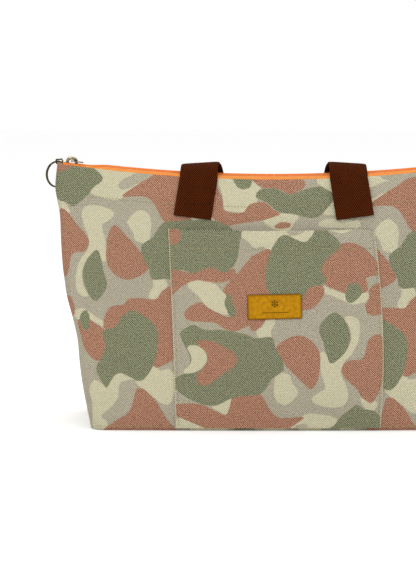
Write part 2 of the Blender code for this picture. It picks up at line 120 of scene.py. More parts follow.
# Foam and lining. LINING_TOP goes from the facing over the foam's edge: (height fraction, depth in mm) pairs.
# FOLD_FADE is the height fraction where the lining's folds end, and the stretch over which they fade out.
FOAM_DEPTHS = (1.5 * MM, 5.2 * MM)
FOAM_FLOORS = (3.9 * MM, 7.7 * MM)
FOAM_RINGS = (0.02, 0.5, 0.95)
FOAM_LOW = 4.5 * MM
FOAM_TOP = 0.887
LINING_TOP = ((0.925, 2.7), (0.912, 3.0), (0.900, 3.8), (0.893, 5.0))
LINING_WALL_TOP = 0.886
LINING_DEPTH = 5.6 * MM
LINING_LOW = 9.0 * MM
LINING_FLOOR = 8.5 * MM
LINING_RINGS = (0.02, 0.3, 0.6, 0.85, 0.97)
LINING_THICK = 0.25 * MM
LINING_FOLD = 0.7 * MM
FOLD_FADE = (0.89, 0.05)

# Pocket. It is cut upside down from the cloth, about POCKET_CUT_MM.
POCKET_LOW = 2.6 * MM
POCKET_LEFT = -97.0 * MM
POCKET_RIGHT = 105.0 * MM
POCKET_LEAN = 8.0 * MM
POCKET_SWELL = 3.75 * MM
POCKET_NARROWING = 5.0 * MM
POCKET_GAPE = 9.0 * MM
POCKET_CLOTH = 1.3 * MM
POCKET_HEM = 15.0 * MM
HEM_FOLD = 1.0 * MM
HEM_THICK = 0.55 * MM
HEM_STEP = 0.8 * MM
POCKET_STAND_OFF = 0.3 * MM
POCKET_ROWS = 74
HEM_ROWS = 9
POCKET_COLUMNS = 84
CORNER_DROOP = 3.0 * MM
CORNER_DROOP_HEIGHT = 20.0 * MM
MOUTH_SAG = 1.2 * MM
PIPING_RADIUS = 0.55 * MM
POCKET_CUT_MM = (-123.0, 242.0)
CORNER_START_MM = -165.0
CORNER_END_MM = -229.0
CORNER_EASE_MM = 5.0

# Label, and the plain snowflake and bar pressed into it.
LABEL_RADIUS = 1.6 * MM
LABEL_TILT = math.radians(1.4)
LABEL_THICK = 1.45 * MM
LABEL_LOW = 0.15 * MM
LABEL_ROUNDING = 0.5 * MM
ROUNDED_EDGE = 0.9 * MM
DARK_EDGE = 1.6 * MM
LABEL_STITCH_INSET = 1.4 * MM
MARK_LIFTS = (1.3 * MM, 1.56 * MM)
MARK_CENTRE_MM = (0.0, 3.2)
MARK_ARM_MM = (0.4, 3.9)
MARK_BARB_MM = (2.2, 3.2, 1.0)
MARK_BAR_MM = ((-13.0, -5.6), (13.0, -5.6))
MARK_STROKE_MM = 0.26

# Zip. FLAP_END is how far the moving tapes reach, by hand: -1 is the left and 1 the right. TAPE_OVER is how
# far the front and back tapes lie above the turned edge. END_RIDGE is the height and half width of a fold.
ZIP_DROP = 1.5 * MM
TAPE_THICK = 0.8 * MM
TAPE_INNER = 1.9 * MM
TAPE_LAP = 2.2 * MM
TAPE_LAP_FALL = 0.9 * MM
TAPE_OVER = (0.6 * MM, 2.8 * MM)
TAPE_EASE = 22.0 * MM
TAPE_RAMP = 1.5 * MM
TEETH_RISE = 1.5 * MM
FLAP_START = 0.05 * MM
FLAP_END = {-1: 190.0 * MM, 1: 166.0 * MM}
CLOSED_END = 190.0 * MM
END_REACH = 5.0 * MM
END_THICK = 1.0 * MM
END_RIDGE = (0.5 * MM, 1.6 * MM)

# Coils. COIL_SWING is a coil's distance from the middle and how far it swings, joined or parted.
TOOTH_PITCH = 1.5 * MM
COIL_WIRE = 0.3 * MM
COIL_HEIGHT = 0.55 * MM
COIL_SWING = (1.15 * MM, 0.85 * MM)
COIL_SWING_PARTED = (2.0 * MM, 0.3 * MM)
COIL_PARTED = 9.0 * MM
COIL_EASE = 1.0 * MM

# Slider. Heights are above the zip's middle plane, sizes are (length, width), and wings (name, low, width).
SLIDER_X = -205.0 * MM
WING_LENGTH = 14.0 * MM
WING_THICK = 1.4 * MM
WINGS = (("slider_top_wing", 1.1 * MM, 8.6 * MM), ("slider_low_wing", -2.5 * MM, 7.4 * MM))
POST_SIZE = (0.9 * MM, 0.7 * MM)
POST_X = -5.4 * MM
POST_LOW = -1.4 * MM
POST_HEIGHT = 2.8 * MM
ARCH_HALF = 4.7 * MM
ARCH_FOOT = 2.6 * MM
ARCH_RISE = 5.2 * MM
ARCH_WIRE = 1.6 * MM
LEAF_SIZE = (12.6 * MM, 7.6 * MM)
LEAF_X = 5.1 * MM
LEAF_LOW = 4.2 * MM
LEAF_THICK = 1.0 * MM
WINDOW_SIZE = (6.2 * MM, 4.8 * MM)
WINDOW_X = 3.2 * MM

# Ring and its eye. The ring's wire starts RING_END round its first turn, and crosses to its second one within
# RING_CROSSING of the turn's end, both as angles.
RING_AZIMUTH = math.radians(40.0)
RING_WIRE = 0.85 * MM
RING_SLACK = 0.8 * MM
RING_SIDE = 0.6 * MM
RING_END = 0.15
RING_CROSSING = 0.5
EYE_CENTRE = Vector((-0.2206, 0.0122, 0.2620))
EYE_RADIUS = 2.2 * MM
EYE_WIRE = 0.8 * MM
EYE_TURN = (math.radians(125.0), math.radians(-160.0))
EYE_STEM_MM = ((-213.9, 1.2, 255.5), (-213.9, 1.2, 261.5), (-214.3, 2.2, 263.8), (-215.5, 4.2, 265.0))

# Handles. A fall is the (x, z) of a loop's left half, down to its lowest point.
WEB_WIDTH = 38.0 * MM
WEB_THICK = 2.0 * MM
WEB_EDGE_THINNING = 0.55
LEG_FOOT = (81.5 * MM, 209.0 * MM)
LEG_HEAD_X = 75.5 * MM
LEG_HEAD_DROP = 0.6 * MM
LEG_STAND_OFF = 0.9 * MM
LEG_POINTS = 7
ROUTE_STEPS = 5
FOLD_ROUTE_MM = ((-14.8, 250.8), (-11.4, 254.6), (-6.2, 257.8), (0.5, 259.7), (6.5, 260.2), (11.8, 259.6))
FOLD_INWARD = 0.24 * MM
FOLD_SPLIT = 3
FOLD_TILT = 0.06
FRONT_LOOP_START_MM = ((-73.4, 15.4, 258.6), (-72.2, 21.5, 255.6), (-70.6, 28.5, 248.5))
FRONT_LOOP_FALL_MM = (
    (-69.0, 236.0),
    (-67.0, 213.0),
    (-64.0, 188.0),
    (-59.5, 163.0),
    (-52.5, 138.0),
    (-43.0, 112.0),
    (-30.5, 89.0),
    (-16.0, 72.0),
    (0.0, 65.0),
)
FRONT_LOOP_STAND_OFF = 16.0 * MM
BACK_LEG_END_MM = ((17.3, 249.3), (19.4, 250.9))
BACK_LOOP_START_MM = ((-75.0, 21.7, 251.0), (-74.8, 23.6, 248.6))
BACK_LOOP_FALL_MM = (
    (-73.5, 236.0),
    (-71.0, 213.0),
    (-67.0, 188.0),
    (-61.0, 163.0),
    (-53.0, 139.0),
    (-42.0, 116.0),
    (-28.0, 97.0),
    (-14.0, 85.0),
    (0.0, 80.0),
)
BACK_LOOP_STAND_OFF = 5.0 * MM
LOOP_TWIST = math.radians(60.0)
HANDLE_BOX_HALF = 15.5 * MM
HANDLE_BOX_HEIGHTS = (222.0 * MM, 238.0 * MM)

# Studio. Each light is (name, place, size, power in watts).
LIGHTS = (
    ("key_light", (-0.7, -1.4, 2.0), 1.0, 16.0),
    ("fill_light", (1.5, -1.3, 1.2), 1.4, 5.0),
    ("top_light", (0.0, 0.5, 1.9), 1.2, 9.0),
)
LIGHT_TARGET = (0.0, 0.0, 0.12)
FLOOR_HALF = 6.0
FLOOR_DROP = 0.2 * MM
CAMERA_AIM = Vector((0.0, -45.0 * MM, 136.0 * MM))
CAMERA_DISTANCE = 2.2
CAMERA_RISE = math.radians(7.0)
CAMERA_SHIFT = -0.113
SENSOR_MM = 36.0
FRAME_HEIGHT = 0.582

# The print. The cloth repeats, and each panel is cut from its own part of it: the front with a slight tilt
# about FRONT_LEVEL_MM, and the back shifted. An outline runs round each patch of colour.
REPEAT_MM = 248.0
REPEAT_START_MM = -230.0
PATCH_MARGIN_MM = 4.0
FRONT_TILT = 0.0363
FRONT_LEVEL_MM = -133.0
BACK_SHIFT_MM = 131.0
BACK_DROP_MM = 14.0
CREAM_MM = (
    ((-187, 218), (-175, 218), (-163, 214), (-161, 209), (-168, 203), (-173, 199), (-170, 188), (-168, 176),
     (-167, 168), (-171, 163), (-178, 172), (-188, 164), (-193, 152), (-191, 140), (-186, 130), (-192, 129),
     (-198, 135), (-199, 150), (-195, 164), (-188, 174), (-186, 185), (-191, 197), (-194, 208), (-192, 215)),
    ((-133, 216), (-126, 212), (-123, 204), (-124, 192), (-124, 184), (-127, 181), (-132, 184), (-139, 186),
     (-141, 193), (-147, 202), (-146, 206), (-140, 213)),
    ((-185, 262), (-150, 262), (-138, 255), (-128, 250), (-152, 227), (-165, 225), (-183, 229), (-190, 240)),
    ((-219, 222), (-212, 220), (-206, 212), (-205, 209), (-215, 210), (-222, 215)),
    ((-121, 150), (-115, 152), (-109, 150), (-106, 145), (-107, 140), (-112, 138), (-117, 130), (-124, 130),
     (-124, 136), (-120, 143)),
    ((-184, 38), (-178, 48), (-168, 44), (-160, 52), (-153, 57), (-140, 52), (-128, 53), (-119, 64),
     (-112, 60), (-104, 62), (-97, 55), (-91, 50), (-90, 38), (-98, 40), (-103, 28), (-112, 28), (-122, 36),
     (-134, 44), (-140, 50), (-148, 48), (-154, 40), (-154, 30), (-160, 20), (-170, 15), (-165, 5),
     (-166, -4), (-182, -4), (-181, 25)),
    ((-197, 116), (-190, 117), (-178, 110), (-168, 104), (-168, 98), (-176, 103), (-188, 108), (-198, 106),
     (-204, 112)),
    ((-61, 218), (-70, 214), (-79, 209), (-85, 214), (-88, 228), (-84, 234), (-75, 226)),
    ((-55, 242), (-40, 244), (-25, 241), (-24, 232), (-38, 228), (-52, 232)),
    ((-5, 160), (10, 170), (18, 150), (12, 130), (-4, 126), (-14, 140)),
    ((-84, 12), (-70, 22), (-52, 20), (-44, 8), (-56, -2), (-78, -4)),
    ((-2, 226), (12, 232), (22, 222), (8, 216)),
    ((-12, 22), (2, 30), (16, 22), (14, 8), (-4, 4), (-16, 10)),
    ((-222, 30), (-208, 36), (-198, 24), (-202, 6), (-216, 2), (-226, 14)),
    ((-230, 96), (-218, 104), (-210, 96), (-212, 82), (-226, 80)),
)
RUST_MM = (
    ((-218, 212), (-208, 210), (-200, 200), (-190, 190), (-186, 182), (-190, 173), (-203, 170), (-206, 155),
     (-210, 148), (-218, 150), (-222, 180)),
    ((-160, 200), (-166, 192), (-168, 180), (-168, 165), (-162, 154), (-152, 148), (-142, 148), (-130, 154),
     (-125, 160), (-130, 170), (-138, 180), (-150, 192)),
    ((-153, 228), (-130, 229), (-120, 222), (-112, 208), (-103, 200), (-92, 198), (-83, 201), (-80, 215),
     (-75, 226), (-61, 220), (-48, 215), (-25, 216), (-25, 226), (-58, 242), (-62, 258), (-105, 258),
     (-120, 252), (-135, 242), (-145, 235)),
    ((-168, 98), (-170, 107), (-165, 118), (-158, 122), (-150, 123), (-144, 129), (-130, 130), (-117, 130),
     (-110, 139), (-100, 141), (-96, 110), (-98, 75), (-106, 68), (-118, 63), (-125, 75), (-140, 95),
     (-155, 99)),
    ((-108, 67), (-95, 77), (-85, 90), (-73, 102), (-77, 114), (-85, 126), (-77, 129), (-63, 123),
     (-51, 115), (-39, 120), (-34, 127), (-39, 133), (-53, 134), (-65, 135), (-75, 141), (-85, 143),
     (-97, 138), (-105, 136), (-109, 127), (-113, 104), (-105, 96), (-104, 82)),
    ((-17, 82), (-28, 84), (-41, 87), (-51, 84), (-61, 81), (-73, 86), (-83, 82), (-85, 90), (-75, 95),
     (-63, 96), (-45, 94), (-33, 99), (-17, 110)),
    ((-166, -4), (-158, 8), (-145, 17), (-140, 30), (-138, 40), (-131, 42), (-124, 37), (-115, 27),
     (-108, 15), (-100, 5), (-95, -4)),
    ((-197, 105), (-188, 108), (-178, 103), (-171, 98), (-168, 88), (-168, 76), (-174, 67), (-182, 70),
     (-190, 80), (-193, 90), (-196, 98)),
    ((-205, 128), (-200, 118), (-202, 110), (-212, 108), (-216, 125)),
    ((-8, 62), (4, 78), (18, 72), (20, 54), (8, 42), (-6, 46)),
    ((-20, 20), (-14, 34), (-26, 36), (-46, 30), (-58, 26), (-46, 14), (-30, 8)),
    ((-20, 124), (-6, 118), (6, 108), (2, 96), (-12, 100)),
    ((-14, 182), (-4, 192), (-10, 212), (-22, 206), (-24, 188)),
    ((2, 252), (14, 262), (24, 250), (14, 242)),
    ((-232, 0), (-222, -2), (-208, -4), (-202, -14), (-232, -14)),
    ((-234, 176), (-222, 190), (-220, 168), (-226, 152), (-236, 158)),
)
GREEN_MM = (
    ((-224, 250), (-205, 257), (-185, 256), (-174, 248), (-173, 243), (-182, 236), (-188, 228), (-196, 221),
     (-203, 216), (-210, 220), (-219, 222), (-226, 230)),
    ((-178, 175), (-188, 165), (-192, 152), (-190, 140), (-184, 129), (-178, 125), (-171, 132), (-167, 142),
     (-171, 155), (-174, 168)),
    ((-189, 116), (-194, 110), (-194, 103), (-190, 97), (-185, 97), (-184, 105), (-185, 112)),
    ((-140, 118), (-151, 112), (-158, 101), (-168, 98), (-171, 93), (-168, 84), (-170, 74), (-177, 60),
     (-172, 48), (-166, 41), (-161, 50), (-154, 56), (-144, 53), (-135, 49), (-127, 53), (-119, 68),
     (-115, 88), (-117, 103), (-128, 112)),
    ((-31, 144), (-43, 137), (-55, 142), (-73, 142), (-95, 146), (-105, 150), (-121, 149), (-125, 160),
     (-131, 170), (-133, 180), (-127, 186), (-121, 190), (-111, 204), (-93, 207), (-80, 210), (-63, 217),
     (-43, 212), (-25, 200), (-25, 190), (-35, 184), (-40, 170), (-31, 150)),
    ((-17, 82), (-33, 84), (-41, 87), (-51, 84), (-61, 81), (-73, 86), (-81, 82), (-87, 72), (-89, 57),
     (-91, 44), (-85, 36), (-60, 34), (-35, 36), (-15, 44), (-12, 60)),
    ((-77, 107), (-74, 116), (-77, 125), (-82, 130), (-86, 124), (-82, 116), (-80, 108)),
    ((2, 205), (16, 214), (24, 196), (14, 182), (-2, 184)),
    ((-20, 252), (-8, 262), (2, 244), (-6, 232), (-20, 236)),
    ((8, 100), (20, 106), (24, 92), (16, 82), (6, 88)),
    ((-40, 4), (-28, 10), (-14, 0), (-24, -8), (-40, -8)),
    ((-226, 62), (-212, 74), (-200, 62), (-204, 44), (-218, 40), (-228, 50)),
    ((-236, 128), (-224, 140), (-216, 128), (-222, 112), (-234, 112)),
)
TOP_GREY_MM = (
    ((-157, 239), (-152, 245), (-140, 251), (-130, 254), (-118, 254), (-128, 246), (-140, 240), (-147, 236),
     (-154, 235)),
    ((-150, 48), (-154, 44), (-155, 32), (-162, 22), (-171, 14), (-170, 10), (-160, 10), (-150, 14),
     (-143, 20), (-139, 32), (-137, 42), (-142, 48)),
)
TOP_RUST_MM = (
    ((-51, 152), (-63, 153), (-73, 158), (-83, 164), (-87, 171), (-83, 178), (-73, 185), (-63, 193),
     (-55, 197), (-48, 194), (-47, 186), (-53, 180), (-57, 172), (-56, 164), (-47, 156)),
    ((-230, 268), (-204, 266), (-198, 260), (-206, 255), (-214, 251), (-230, 249)),
    ((-16, 44), (-28, 45), (-30, 54), (-25, 59), (-15, 58)),
)
TOP_CREAM_MM = (
    ((-37, 99), (-45, 94), (-57, 95), (-65, 97), (-71, 104), (-76, 108), (-74, 116), (-78, 127), (-71, 126),
     (-63, 123), (-55, 118), (-48, 109)),
    ((-37, 159), (-45, 157), (-53, 161), (-57, 168), (-55, 176), (-47, 183), (-35, 185), (-34, 182),
     (-40, 176), (-41, 168)),
)

# Layers of the print, from the lowest. The inks of the canvas finish follow this order.
PRINT_MM = (CREAM_MM, RUST_MM, GREEN_MM, TOP_GREY_MM, TOP_RUST_MM, TOP_CREAM_MM)

# Between the handles and above the pocket the front is cut from another part of the cloth.
STRIP_HALF_MM = 82.0
STRIP_LOW_MM = 188.0
STRIP_CREAM_MM = (
    ((-58, 250), (-54, 238), (-51, 228), (-50, 217), (-44, 215), (-30, 214), (-25, 221), (-17, 223),
     (-17, 231), (-12, 236), (-20, 243), (-25, 252)),
    ((46, 252), (44, 242), (54, 236), (64, 232), (66, 252)),
    ((50, 212), (54, 219), (58, 223), (66, 222), (66, 212)),
    ((10, 213), (25, 211), (18, 200), (16, 196), (2, 197), (-5, 201), (-10, 206)),
    ((46, 200), (52, 207), (78, 206), (84, 199)),
    ((-88, 213), (-62, 211), (-62, 203), (-88, 203)),
)
STRIP_RUST_MM = (
    ((-66, 252), (-58, 240), (-52, 228), (-50, 217), (-44, 214), (-30, 214), (-25, 221), (-12, 224),
     (-5, 221), (0, 216), (8, 213), (2, 210), (-8, 207), (-20, 205), (-35, 203), (-48, 201), (-58, 205),
     (-64, 211), (-72, 212)),
    ((-22, 246), (-15, 240), (-10, 237), (0, 237), (10, 234), (18, 231), (26, 235), (31, 238), (31, 244),
     (25, 246), (10, 250), (-10, 250)),
    ((0, 200), (6, 204), (14, 204), (19, 201), (14, 199), (5, 198)),
)
STRIP_GREEN_MM = (
    ((-42, 252), (-38, 240), (-31, 236), (-24, 238), (-22, 243), (-23, 252)),
    ((-92, 184), (-92, 207), (-80, 206), (-70, 207), (-56, 205), (-46, 201), (-40, 195), (-40, 184)),
    ((-18, 231), (-15, 235), (-8, 237), (0, 237), (8, 234), (18, 231), (28, 235), (46, 239), (53, 236),
     (60, 231), (58, 223), (48, 212), (38, 208), (20, 212), (10, 213), (2, 216), (-5, 222), (-17, 228)),
)
STRIP_MM = (STRIP_CREAM_MM, STRIP_RUST_MM, STRIP_GREEN_MM, (), (), ())

# Patches that are fuller on the pocket than on the walls, in places across and up the pocket.
POCKET_RUST_MM = (
    ((54, 166), (59, 179), (72, 185), (86, 182), (98, 172), (106, 160), (104, 153), (92, 151), (80, 146),
     (66, 147), (56, 154)),
    ((95, 138), (101, 144), (114, 144), (114, 120), (103, 120), (96, 128)),
)


def linear(red, green, blue):
    """Scene colour of an sRGB colour given from 0 to 255."""
    values = [c / 255.0 for c in (red, green, blue)]
    return (*[c / 12.92 if c <= 0.04045 else ((c + 0.055) / 1.055) ** 2.4 for c in values], 1.0)


GREY = linear(163, 155, 132)
CREAM = linear(197, 191, 156)
RUST = linear(173, 82, 12)
GREEN = linear(89, 103, 40)
BARE_YARN = linear(232, 224, 204)
BARE_YARN_SHARE = 0.36
WEAVE_SHADE = (0.26, 0.60)


# Materials


class Finish:
    """A material under construction, with short calls for the nodes that its pattern needs."""

    def __init__(self, name, roughness, metallic=0.0, sheen=0.0, coat=0.0, specular=0.5):
        self.material = bpy.data.materials.new(name)
        self.material.use_nodes = True
        self.tree = self.material.node_tree
        self.shader = self.tree.nodes["Principled BSDF"]
        self.shader.inputs["Roughness"].default_value = roughness
        self.shader.inputs["Metallic"].default_value = metallic
        self.shader.inputs["Sheen Weight"].default_value = sheen
        self.shader.inputs["Coat Weight"].default_value = coat
        self.shader.inputs["Specular IOR Level"].default_value = specular

    def add(self, kind, inputs, **settings):
        """Add a node. Each input is a constant or another node's output."""
        node = self.tree.nodes.new(kind)
        for key, value in settings.items():
            setattr(node, key, value)
        for key, value in inputs.items():
            self.join(node.inputs[key], value)
        return node

    def join(self, socket, value):
        """Link an output to a socket, or set the socket to a constant."""
        if isinstance(value, bpy.types.NodeSocket):
            self.tree.links.new(value, socket)
        else:
            socket.default_value = value

    def math(self, operation, first, second=0.0, third=0.0):
        """One step of arithmetic."""
        return self.add("ShaderNodeMath", {0: first, 1: second, 2: third}, operation=operation).outputs[0]

    def attribute(self, name):
        """Read a vector attribute of the mesh."""
        return self.add("ShaderNodeAttribute", {}, attribute_name=name).outputs["Vector"]

    def parts(self, vector):
        """Split a vector into its three numbers."""
        return self.add("ShaderNodeSeparateXYZ", {"Vector": vector}).outputs

    def place(self):
        """Place on the object, in metres."""
        return self.add("ShaderNodeTexCoord", {}).outputs["Object"]

    def noise(self, vector, scale, detail=2.0):
        """Smooth noise from 0 to 1."""
        node = self.add("ShaderNodeTexNoise", {"Vector": vector, "Scale": scale, "Detail": detail})
        return node.outputs["Fac"]

    def step(self, value, low, high, to_low=0.0, to_high=1.0):
        """Ease from one value to another as the input passes from low to high."""
        inputs = {"Value": value, "From Min": low, "From Max": high, "To Min": to_low, "To Max": to_high}
        return self.add("ShaderNodeMapRange", inputs, interpolation_type="SMOOTHSTEP").outputs["Result"]

    def mix(self, share, first, second):
        """Blend two colours. The node keeps its colour sockets after those for numbers and vectors."""
        node = self.add("ShaderNodeMix", {}, data_type="RGBA")
        for socket, value in ((0, share), (6, first), (7, second)):
            self.join(node.inputs[socket], value)
        return node.outputs[2]

    def brighten(self, colour, share):
        """Multiply a colour's value."""
        return self.add("ShaderNodeHueSaturation", {"Color": colour, "Value": share}).outputs["Color"]

    def wave(self, phase):
        """A smooth wave from -1 to 1, one for each whole number of the phase."""
        return self.math("SINE", self.math("MULTIPLY", phase, 2 * math.pi))

    def finish(self, colour, height, depth, roughness=None):
        """Join the pattern to the shader, with the height pressed in as a bump, and return the material."""
        self.join(self.shader.inputs["Base Color"], colour)
        if roughness is not None:
            self.join(self.shader.inputs["Roughness"], roughness)
        bump = self.add("ShaderNodeBump", {"Height": height, "Distance": depth, "Strength": 1.0})
        self.join(self.shader.inputs["Normal"], bump.outputs["Normal"])
        return self.material


def twill(kit, pitch):
    """Ribs of a twill that fall to the right, broken into its yarns, from about -1 to 1."""
    across, up, _ = kit.parts(kit.attribute("cloth"))
    rib = kit.wave(kit.math("DIVIDE", kit.math("ADD", across, up), pitch))
    yarn = kit.wave(kit.math("DIVIDE", kit.math("SUBTRACT", across, up), pitch * 0.92))
    uneven = kit.noise(kit.attribute("cloth"), 950.0)
    broken = kit.math("MULTIPLY_ADD", yarn, 0.38, kit.math("MULTIPLY", rib, 0.62))
    return kit.math("MULTIPLY_ADD", kit.math("SUBTRACT", uneven, 0.5), 3.2, broken)


def canvas_finish(name, printed, plain=GREY):
    """Cotton twill, with the printed patches or in one colour."""
    kit = Finish(name, 0.92, sheen=0.02, specular=0.12)
    cloth = kit.attribute("cloth")
    weave = twill(kit, TWILL_PITCH)
    colour = kit.mix(kit.noise(cloth, 60.0), plain, kit.brighten(plain, 0.94))
    if printed:
        wobble = kit.math("MULTIPLY_ADD", kit.noise(cloth, 900.0), 1.3, -0.65)
        layers = [*kit.parts(kit.attribute("print_under")), *kit.parts(kit.attribute("print_over"))]
        inks = (CREAM, RUST, GREEN, GREY, RUST, CREAM)
        for depth, ink in zip(layers, inks):
            covered = kit.step(kit.math("ADD", depth, wobble), -0.35, 0.35)
            colour = kit.mix(covered, colour, ink)
    worn = kit.math("ADD", kit.noise(cloth, 9.0, 3.0), kit.noise(cloth, 210.0, 3.0))
    colour = kit.brighten(colour, kit.math("MULTIPLY_ADD", worn, 0.20, 0.80))
    paleness = kit.add("ShaderNodeSeparateColor", {"Color": colour}).outputs["Blue"]
    deep = kit.brighten(colour, kit.step(paleness, RUST[2], CREAM[2], *WEAVE_SHADE))
    bare = kit.mix(BARE_YARN_SHARE, colour, BARE_YARN)
    colour = kit.mix(kit.step(weave, -0.6, 0.8), deep, bare)
    speck = kit.step(kit.noise(cloth, 1100.0), 0.58, 0.74, 0.0, 0.45)
    colour = kit.mix(speck, colour, bare)
    return kit.finish(colour, weave, 0.22 * MM)


def webbing_finish():
    """Dark cotton webbing in a herringbone weave of four columns."""
    kit = Finish("cotton_webbing", 0.95, specular=0.03)
    across, along, _ = kit.parts(kit.attribute("cloth"))
    zigzag = kit.math("PINGPONG", kit.math("ADD", across, WEB_WIDTH / 2), WEB_WIDTH / 4)
    phase = kit.math("DIVIDE", kit.math("MULTIPLY_ADD", zigzag, 1.35, along), 2.7 * MM)
    rib = kit.wave(phase)
    yarn = kit.noise(kit.attribute("cloth"), 1400.0)
    height = kit.math("MULTIPLY_ADD", yarn, 0.5, rib)
    colour = kit.mix(kit.step(height, 0.4, 1.3), linear(26, 7, 2), linear(112, 50, 15))
    shade = kit.math("MULTIPLY_ADD", kit.noise(kit.attribute("cloth"), 45.0, 3.0), 0.6, 0.7)
    return kit.finish(kit.brighten(colour, shade), height, 0.4 * MM)


def tape_finish(name, base, light):
    """Woven zip tape: fine ribs along it and a cross weave."""
    kit = Finish(name, 0.7, sheen=0.05, specular=0.15)
    along, across, _ = kit.parts(kit.attribute("cloth"))
    ribs = kit.wave(kit.math("DIVIDE", across, 0.9 * MM))
    picks = kit.wave(kit.math("DIVIDE", along, 0.7 * MM))
    height = kit.math("ADD", ribs, kit.math("MULTIPLY", picks, 0.6))
    colour = kit.mix(kit.step(height, -1.2, 1.4), base, light)
    shade = kit.math("MULTIPLY_ADD", kit.noise(kit.attribute("cloth"), 200.0), 0.2, 0.9)
    colour = kit.brighten(colour, shade)
    return kit.finish(colour, height, 0.12 * MM)


def grain_finish(name, roughness, scale, detail, colours, depth, **surface):
    """A plain material with a fine grain between two colours."""
    kit = Finish(name, roughness, **surface)
    grain = kit.noise(kit.place(), scale, detail)
    return kit.finish(kit.mix(grain, *colours), grain, depth)


def leather_finish():
    """Mustard leather, with a pore grain and darker edges and blotches."""
    kit = Finish("label_leather", 0.6, specular=0.06)
    cloth = kit.attribute("cloth")
    pores = kit.add("ShaderNodeTexVoronoi", {"Vector": cloth, "Scale": 1100.0}).outputs["Distance"]
    blotch = kit.noise(cloth, 240.0, 6.0)
    colour = kit.mix(kit.step(blotch, 0.3, 0.75), linear(152, 104, 4), linear(178, 128, 8))
    edge = kit.parts(cloth)[2]
    colour = kit.mix(kit.step(edge, 0.2, 1.0), colour, linear(96, 56, 14))
    height = kit.math("MULTIPLY_ADD", blotch, 0.8, pores)
    return kit.finish(colour, height, 0.18 * MM, kit.step(blotch, 0.3, 0.8, 0.42, 0.6))


def metal_finish(name, dark, light, roughness):
    """Metal with a mottled patina."""
    kit = Finish(name, roughness, metallic=1.0)
    patina = kit.noise(kit.place(), 260.0, 5.0)
    scratches = kit.noise(kit.place(), 1800.0, 2.0)
    colour = kit.mix(kit.step(patina, 0.35, 0.65), dark, light)
    rough = kit.step(patina, 0.3, 0.7, roughness + 0.12, roughness - 0.06)
    return kit.finish(colour, scratches, 0.03 * MM, rough)


def lining_finish():
    """Wipe-clean silver film over a fine woven ground."""
    kit = Finish("wipe_clean_lining", 0.32, metallic=0.35, coat=0.2)
    cloth = kit.attribute("cloth")
    across, up, _ = kit.parts(cloth)
    waves = [kit.wave(kit.math("DIVIDE", way, 1.3 * MM)) for way in (across, up)]
    grid = kit.math("ADD", *waves)
    crinkle = kit.noise(cloth, 70.0, 5.0)
    height = kit.math("MULTIPLY_ADD", crinkle, 14.0, grid)
    colour = kit.mix(crinkle, linear(178, 182, 186), linear(222, 224, 226))
    return kit.finish(colour, height, 0.05 * MM, kit.step(crinkle, 0.3, 0.7, 0.26, 0.42))


def foam_finish():
    """Closed-cell foam with its small bubbles."""
    kit = Finish("insulation_foam", 0.95)
    cells = kit.add("ShaderNodeTexVoronoi", {"Vector": kit.place(), "Scale": 900.0}).outputs["Distance"]
    colour = kit.mix(cells, linear(206, 208, 210), linear(236, 237, 238))
    return kit.finish(colour, cells, 0.2 * MM)


def thread_finish(name, dark, light):
    """Twisted thread."""
    kit = Finish(name, 0.85, specular=0.1)
    twist = kit.wave(kit.math("DIVIDE", kit.parts(kit.attribute("cloth"))[0], 0.5 * MM))
    return kit.finish(kit.mix(kit.step(twist, -1.0, 1.0), dark, light), twist, 0.06 * MM)


# Meshes


def stack(x, y, z=0.0):
    """Points from their coordinates, which are broadcast to one shape."""
    return np.stack(np.broadcast_arrays(x, y, z), -1)


def run_along(points):
    """Distance along a line of points."""
    return np.r_[0.0, np.cumsum(np.linalg.norm(np.diff(points, axis=0), axis=1))]


def unit(vectors):
    """Vectors, each divided by its length."""
    return vectors / np.maximum(np.linalg.norm(vectors, axis=-1, keepdims=True), 1e-12)


def grid_faces(rows, columns, wrap):
    """Quads of a grid of points. A wrapped grid closes round on itself."""
    row = np.arange(rows - 1)[:, None] * columns
    column = np.arange(columns if wrap else columns - 1)[None, :]
    after = (column + 1) % columns
    corners = (row + column, row + after, row + columns + after, row + columns + column)
    return np.stack(corners, -1).reshape(-1, 4)


def strip_faces(first, second, wrap):
    """Quads that join two rows of vertex numbers."""
    if wrap:
        first = np.append(first, first[0])
        second = np.append(second, second[0])
    return np.stack((first[:-1], first[1:], second[1:], second[:-1]), -1)


def outward_normals(grid):
    """Unit normals of a wrapped grid, turned to point away from its middle at one row of its walls."""
    across = np.roll(grid, -1, axis=1) - np.roll(grid, 1, axis=1)
    normals = unit(np.cross(across, np.gradient(grid, axis=0)))
    ring = grid[WALL_ROW, :, :2]
    if (normals[WALL_ROW, :, :2] * (ring - ring.mean(0))).sum() < 0:
        normals = -normals
    return normals


def link(name, mesh, material, sharp_angle):
    """Put a smooth mesh with its material in the scene, as an object."""
    mesh.shade_smooth()
    mesh.set_sharp_from_angle(angle=math.radians(sharp_angle))
    mesh.materials.clear()
    mesh.materials.append(material)
    obj = bpy.data.objects.new(name, mesh)
    bpy.context.scene.collection.objects.link(obj)
    return obj


def add_mesh(name, vertices, faces, material, attributes=()):
    """Add a smooth mesh, with its normals turned outwards and its vector attributes."""
    mesh = bpy.data.meshes.new(name)
    mesh.from_pydata(vertices.tolist(), [], faces)
    for key, values in attributes:
        layer = mesh.attributes.new(key, "FLOAT_VECTOR", "POINT")
        layer.data.foreach_set("vector", values.astype(np.float32).ravel())
    bm = bmesh.new()
    bm.from_mesh(mesh)
    bmesh.ops.recalc_face_normals(bm, faces=bm.faces)
    bm.to_mesh(mesh)
    bm.free()
    return link(name, mesh, material, 55.0)


